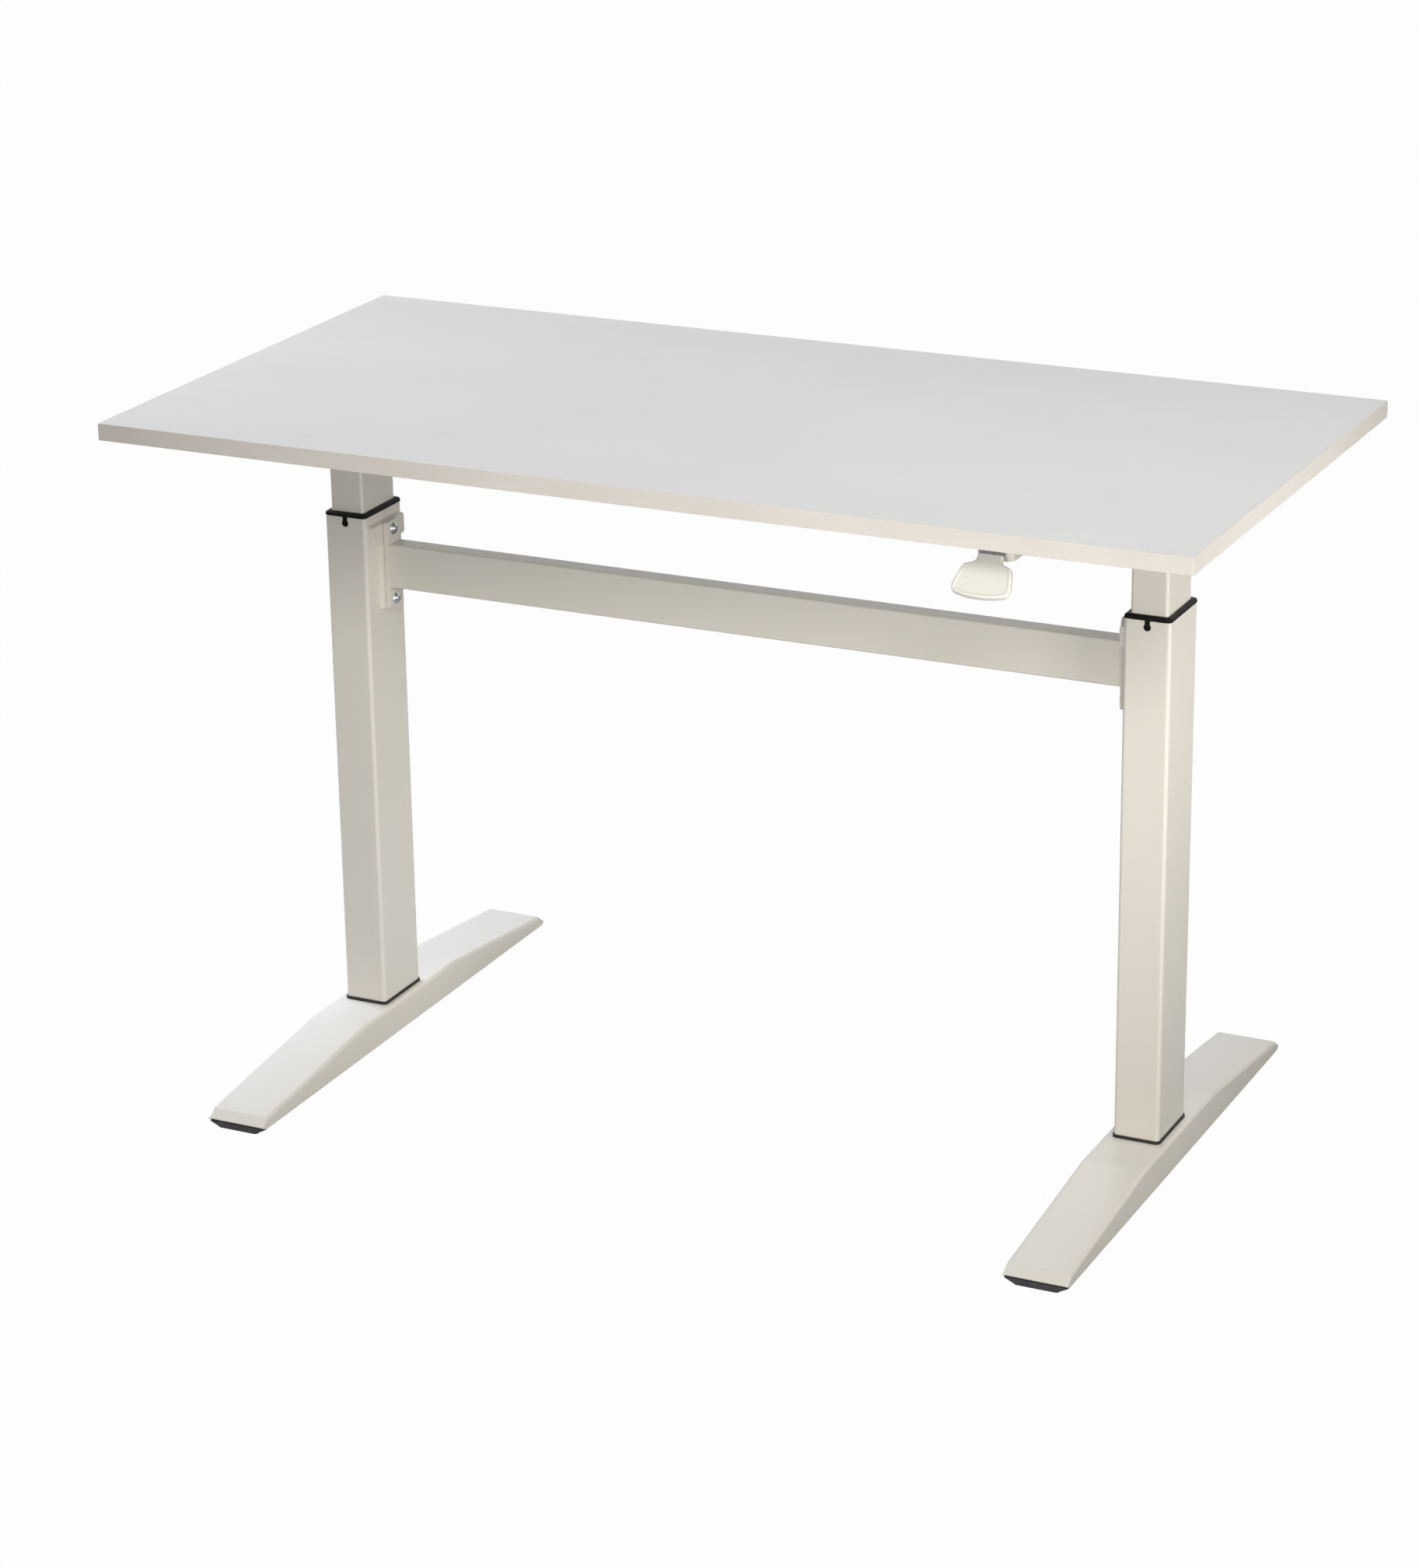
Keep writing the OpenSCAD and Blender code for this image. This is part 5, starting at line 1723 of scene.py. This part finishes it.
@dataclass
class Cables:
    """The two release cables, from the paddle's housing to the stop in each support arm.

    The routes are those of the CAD, drawn finer: clipped along the board to the left arm, and
    straight across to the right one.
    """

    paddle_x: float
    column_x: float
    housing_back: float
    board_z: float
    wire_z: float
    lug_z: float
    lug_x: float = 8 * MM
    arm_half: float = 32 * MM
    stop_y: float = -50 * MM
    diameter: float = 5 * MM
    clip_count: int = 3
    span_steps: int = 7
    sides: int = 18

    def shared(self) -> tuple[float, float, float, float]:
        """Y of the run along the board, of the start and of the end, and Z of the arm's entry."""
        start_y, end_y = self.housing_back + 2.1 * MM, self.stop_y - 4.1 * MM
        return self.housing_back + 44 * MM, start_y, end_y, self.wire_z + 7.2 * MM

    def left_route(self) -> list[Point]:
        """Centre line of the left cable.

        Returns:
            Its points, from the housing along the clips to the left arm's stop.
        """
        run_y, start_y, end_y, entry_z = self.shared()
        run_z = self.board_z - self.diameter
        arm_x = self.column_x - self.arm_half
        step = (self.paddle_x + arm_x) / (self.clip_count + 1) / 2
        x, z = self.paddle_x - self.lug_x, self.lug_z
        route: list[Point] = [
            (x, start_y, z),
            (x, start_y + 8 * MM, z),
            (x, start_y + 11 * MM, z),
            (x - 3 * MM, run_y - 23 * MM, run_z - 9 * MM),
            (x - 14 * MM, run_y - 11 * MM, run_z - 5.5 * MM),
            (x - 33 * MM, run_y - 3 * MM, run_z - 2 * MM),
            (x - 59 * MM, run_y, run_z),
        ]
        spot = x - 131 * MM
        while spot >= 45 * MM - arm_x - 1e-9:
            route.append((spot, run_y, run_z))
            spot -= step
        column, wire_z = -self.column_x, self.wire_z
        return [
            *route,
            (20 * MM - arm_x, run_y + 2 * MM, entry_z + 5.5 * MM),
            (-arm_x, run_y + 10 * MM, entry_z),
            (column + 14 * MM, run_y + 24 * MM, wire_z + 4 * MM),
            (column + 4 * MM, self.stop_y - 50 * MM, wire_z + 0.8 * MM),
            (column, self.stop_y - 30 * MM, wire_z),
            (column, self.stop_y - 18 * MM, wire_z),
            (column, end_y, wire_z),
        ]

    def right_route(self) -> list[Point]:
        """Centre line of the right cable.

        Returns:
            Its points, from the housing to the right arm's stop.
        """
        run_y, start_y, end_y, entry_z = self.shared()
        arm_x = self.column_x - self.arm_half
        column, wire_z = self.column_x, self.wire_z
        x, z = self.paddle_x + self.lug_x, self.lug_z
        return [
            (x, start_y, z),
            (x, start_y + 8 * MM, z),
            (x, start_y + 11 * MM, z),
            (x + 4 * MM, run_y - 21 * MM, entry_z + 1 * MM),
            (x + 13 * MM, run_y - 10 * MM, entry_z + 1.5 * MM),
            ((x + arm_x) / 2 + 4 * MM, run_y - 2 * MM, entry_z + 1.2 * MM),
            (arm_x, run_y + 8 * MM, entry_z),
            (arm_x + 15 * MM, run_y + 23 * MM, wire_z + 4 * MM),
            (column - 5 * MM, self.stop_y - 51 * MM, wire_z + 1 * MM),
            (column, self.stop_y - 30 * MM, wire_z),
            (column, self.stop_y - 18 * MM, wire_z),
            (column, end_y, wire_z),
        ]

    def build(self) -> list[bpy.types.Object]:
        """Makes both cables, riding on the desktop.

        Returns:
            The left and the right cable.
        """
        made = []
        for side, route in zip(Side, (self.left_route(), self.right_route())):
            draft = Draft()
            path = smooth_path(route, self.span_steps)
            tube(draft, path, lambda i: self.diameter / 2, self.sides)
            piece = draft.build(f"release_cable_{side.word}", Finishes.sheath, 60)
            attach(piece, Body.DESKTOP.value)
            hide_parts(f"cable_{side.word}")
            made.append(piece)
        return made


@dataclass
class ReturnSpring:
    """The torsion spring beside the paddle's hub, one smooth wire with a leg at each end."""

    centre: Point
    offset: float = 10.9 * MM
    radius: float = 4 * MM
    wire: float = 1 * MM
    turns: float = 2
    pitch: float = 1.15 * MM
    leg: float = 10 * MM
    tilt: float = 45
    front_lean: float = 20
    rear_lean: float = 10
    steps: int = 72
    sides: int = 12

    def wind(self, turn: float, share: float) -> Vector:
        """Point of the coil at a turn in degrees and a share of its length."""
        a, length = math.radians(turn), self.turns * self.pitch
        return Vector((-self.radius * math.sin(a), self.radius * math.cos(a), length * share))

    def build(self) -> bpy.types.Object:
        """Makes the spring, riding on the paddle body.

        Returns:
            The spring.
        """
        first, last = 90 + self.tilt, 90 - 360 * self.turns
        shares = [i / self.steps for i in range(self.steps + 1)]
        coil = [self.wind(first + (last - first) * t, t) for t in shares]
        lean_front = math.radians(self.tilt + self.front_lean)
        lean_rear = math.radians(self.rear_lean)
        out_front = Vector((math.sin(lean_front), -math.cos(lean_front), 0.0)) * self.leg
        out_rear = Vector((-math.sin(lean_rear), math.cos(lean_rear), 0.0)) * self.leg
        quarters = (0.25, 0.5, 0.75, 1)
        front = [coil[0] + out_front * t for t in reversed(quarters)]
        rear = [self.wind(90, 1) + out_rear * t for t in quarters]
        turn = Matrix.Rotation(math.radians(90), 4, "Y")
        base = Vector(self.centre) + Vector((self.offset, 0.0, 0.0))
        draft = Draft()
        path = [base + turn @ p for p in (*front, *coil, *rear)]
        tube(draft, path, lambda i: self.wire / 2, self.sides)
        made = draft.build("torsion_spring", Finishes.zinc, 60)
        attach(made, Body.PADDLE.value)
        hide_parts("return_spring")
        return made


@dataclass
class BoardScrews:
    """The wood screws under the board: pan heads with a cross recess."""

    head_r: float = 4.5 * MM
    head_h: float = 2.5 * MM
    shank_r: float = 2.2 * MM
    shank: float = 4 * MM
    sides: int = 28
    recess: float = 1.5 * MM
    # Half length and half width of the recess's arms above the head, at its face and at their end.
    arm_top: Flat = (2.5 * MM, 0.55 * MM)
    arm_face: Flat = (2.5 * MM, 0.5 * MM)
    arm_end: Flat = (1.0 * MM, 0.3 * MM)
    # Turn from each screw to the next in radians, since no two are driven home alike.
    twist: float = 0.7

    def head(self) -> bpy.types.Mesh:
        """Makes one screw about its seat, head down.

        Returns:
            The screw's mesh.
        """
        profile = [
            (self.shank_r, self.shank),
            (self.shank_r, 0.0),
            (self.head_r - 0.15 * MM, 0.0),
            (self.head_r, -0.25 * MM),
            (self.head_r - 0.1 * MM, -0.9 * MM),
            (self.head_r - 0.5 * MM, -1.6 * MM),
            (self.head_r - 1.3 * MM, -2.15 * MM),
            (self.head_r - 2.6 * MM, -2.45 * MM),
            (0.6 * MM, -self.head_h),
        ]
        draft = Draft()
        draft.loft([[(x, y, z) for x, y in circle(r, self.sides)] for r, z in profile])
        body = draft.build("pan_screw", Finishes.zinc, 50)
        levels = (
            (*self.arm_top, -self.head_h - 0.7 * MM),
            (*self.arm_face, -self.head_h + 0.2 * MM),
            (*self.arm_end, -self.head_h + self.recess),
        )
        arms = Draft()
        for turn in (0, 90):
            spin = Matrix.Rotation(math.radians(turn), 4, "Z")
            rings = []
            for long, wide, z in levels:
                corners = ((-long, -wide), (long, -wide), (long, wide), (-long, wide))
                rings.append([tuple(spin @ Vector((x, y, z))) for x, y in corners])
            arms.loft(rings)
        cut_out(body, arms.build("cross_recess", Finishes.zinc), own_overlaps=True)
        mesh = body.data
        bpy.data.objects.remove(body)
        return mesh

    def build(self, node: bpy.types.Object) -> bpy.types.Object:
        """Makes a screw on the seat of each CAD screw, riding on the desktop.

        Args:
            node: The CAD node of the screws, whose solids say where they are.

        Returns:
            The screws as one piece.
        """
        one = self.head()
        work = bmesh.new()
        for k, (low, high) in enumerate(solids_of(node)):
            first = len(work.verts)
            work.from_mesh(one)
            work.verts.ensure_lookup_table()
            seat = Vector(((low.x + high.x) / 2, (low.y + high.y) / 2, low.z + self.head_h))
            spin = Matrix.Translation(seat) @ Matrix.Rotation(self.twist * k, 4, "Z")
            bmesh.ops.transform(work, matrix=spin, verts=work.verts[first:])
        mesh = bpy.data.meshes.new("pan_screws")
        work.to_mesh(mesh)
        work.free()
        made = add_piece("pan_screws", mesh, Finishes.zinc)
        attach(made, Body.DESKTOP.value)
        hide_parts("board_screws")
        return made


class CadSkin:
    """Finishes and soft edges for the CAD nodes that keep their own shape."""

    # Width of the rounds on each node's edges; the nodes that are not named stay sharp.
    rounds: dict[str, float] = {
        "edge_band_front": 0.35 * MM,
        "edge_band_back": 0.35 * MM,
        "edge_bands_side": 0.35 * MM,
        "outer_column_left": 0.25 * MM,
        "outer_column_right": 0.25 * MM,
        "inner_column_left": 0.25 * MM,
        "inner_column_right": 0.25 * MM,
        "crossbar": 0.25 * MM,
        "crossbar_flanges": 0.9 * MM,
        "crossbar_bolts": 0.3 * MM,
        "lever_housing": 0.9 * MM,
        "head_plates": 0.5 * MM,
        "rail_front": 0.3 * MM,
        "rail_back": 0.3 * MM,
        "support_arm_left": 0.35 * MM,
        "support_arm_right": 0.35 * MM,
        "gaskets": 0.6 * MM,
        "paddle_arm": 0.3 * MM,
    }

    def __init__(self, nodes: dict[str, bpy.types.Object]) -> None:
        """Takes the CAD nodes by name."""
        self.nodes = nodes

    def dress(self, replaced: Iterable[str]) -> int:
        """Gives each node that stays its finish and its rounds.

        Args:
            replaced: Names of nodes that a finer piece stands for.

        Returns:
            How many nodes were dressed.
        """
        skip = set(replaced)
        count = 0
        for name, obj in self.nodes.items():
            for slot in obj.material_slots:
                known = slot.material.name.split(".")[0] if slot.material else ""
                finish = Finishes.by_slot.get(known)
                if finish:
                    slot.material = finish.material()
            if name in skip:
                continue
            Soften.solid(obj, self.rounds.get(name, 0.0))
            count += 1
        return count


# ---------------------------------------------------------------- the desk


def middle_of(node: str) -> Vector:
    """Middle of a CAD node's box."""
    low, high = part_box(node)
    return (low + high) / 2


def report(made: bpy.types.Object) -> None:
    """Logs a piece's name and how many faces it has."""
    LOG.info("%s has %d faces", made.name, len(made.data.polygons))


def build_stand() -> list[str]:
    """Builds the finer pieces of the stand.

    Returns:
        Names of the CAD nodes that they stand for.
    """
    replaced = ["foot_pads"]
    for side in Side:
        parts = ((Foot(side), "foot"), (Collar(side), "collar"), (TeeBracket(side), "tee_bracket"))
        for part, node in parts:
            report(part.build())
            replaced.append(f"{node}_{side.word}")
    foot_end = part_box("foot_right")[1].y
    report(FootPads(column_x=middle_of("foot_right").x, foot_end=foot_end).build())
    tee_low, tee_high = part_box("tee_bracket_right")
    bar_low, bar_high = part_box("crossbar")
    tee_edge = tee_high.z - TeeBracket.head_h
    welds = WeldBeads(
        face=tee_high.x,
        tee=(tee_high.y, TeeBracket.stem_w / 2, tee_edge, tee_low.z),
        bar=(bar_high.y, bar_low.z, bar_high.z),
    )
    report(welds.build())
    return replaced


def build_release(nodes: dict[str, bpy.types.Object]) -> list[str]:
    """Builds the finer pieces of the release gear and the screws under the board.

    Args:
        nodes: The CAD nodes by name.

    Returns:
        Names of the CAD nodes that they stand for.
    """
    pin = middle_of("hinge_pin")
    report(Paddle(hinge=tuple(pin)).build())
    cables = Cables(
        paddle_x=pin.x,
        column_x=middle_of("outer_column_right").x,
        housing_back=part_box("lever_housing")[1].y,
        board_z=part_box("tabletop")[0].z,
        wire_z=middle_of("lever_nipple_right").z,
        lug_z=middle_of("paddle_nipples").z,
    )
    for made in cables.build():
        report(made)
    report(ReturnSpring(centre=tuple(pin)).build())
    report(BoardScrews().build(nodes["board_screws"]))
    return ["paddle", "cable_left", "cable_right", "return_spring", "board_screws"]


def main() -> None:
    """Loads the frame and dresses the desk."""
    logging.basicConfig(level=logging.INFO, format="%(name)s: %(message)s")
    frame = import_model()
    Camera().build()
    Studio().build()
    LOG.info("camera and studio are ready")

    replaced = build_stand() + build_release(frame["nodes"])
    dressed = CadSkin(frame["nodes"]).dress(replaced)
    LOG.info("%d CAD nodes dressed", dressed)


if __name__ == "__main__":
    main()
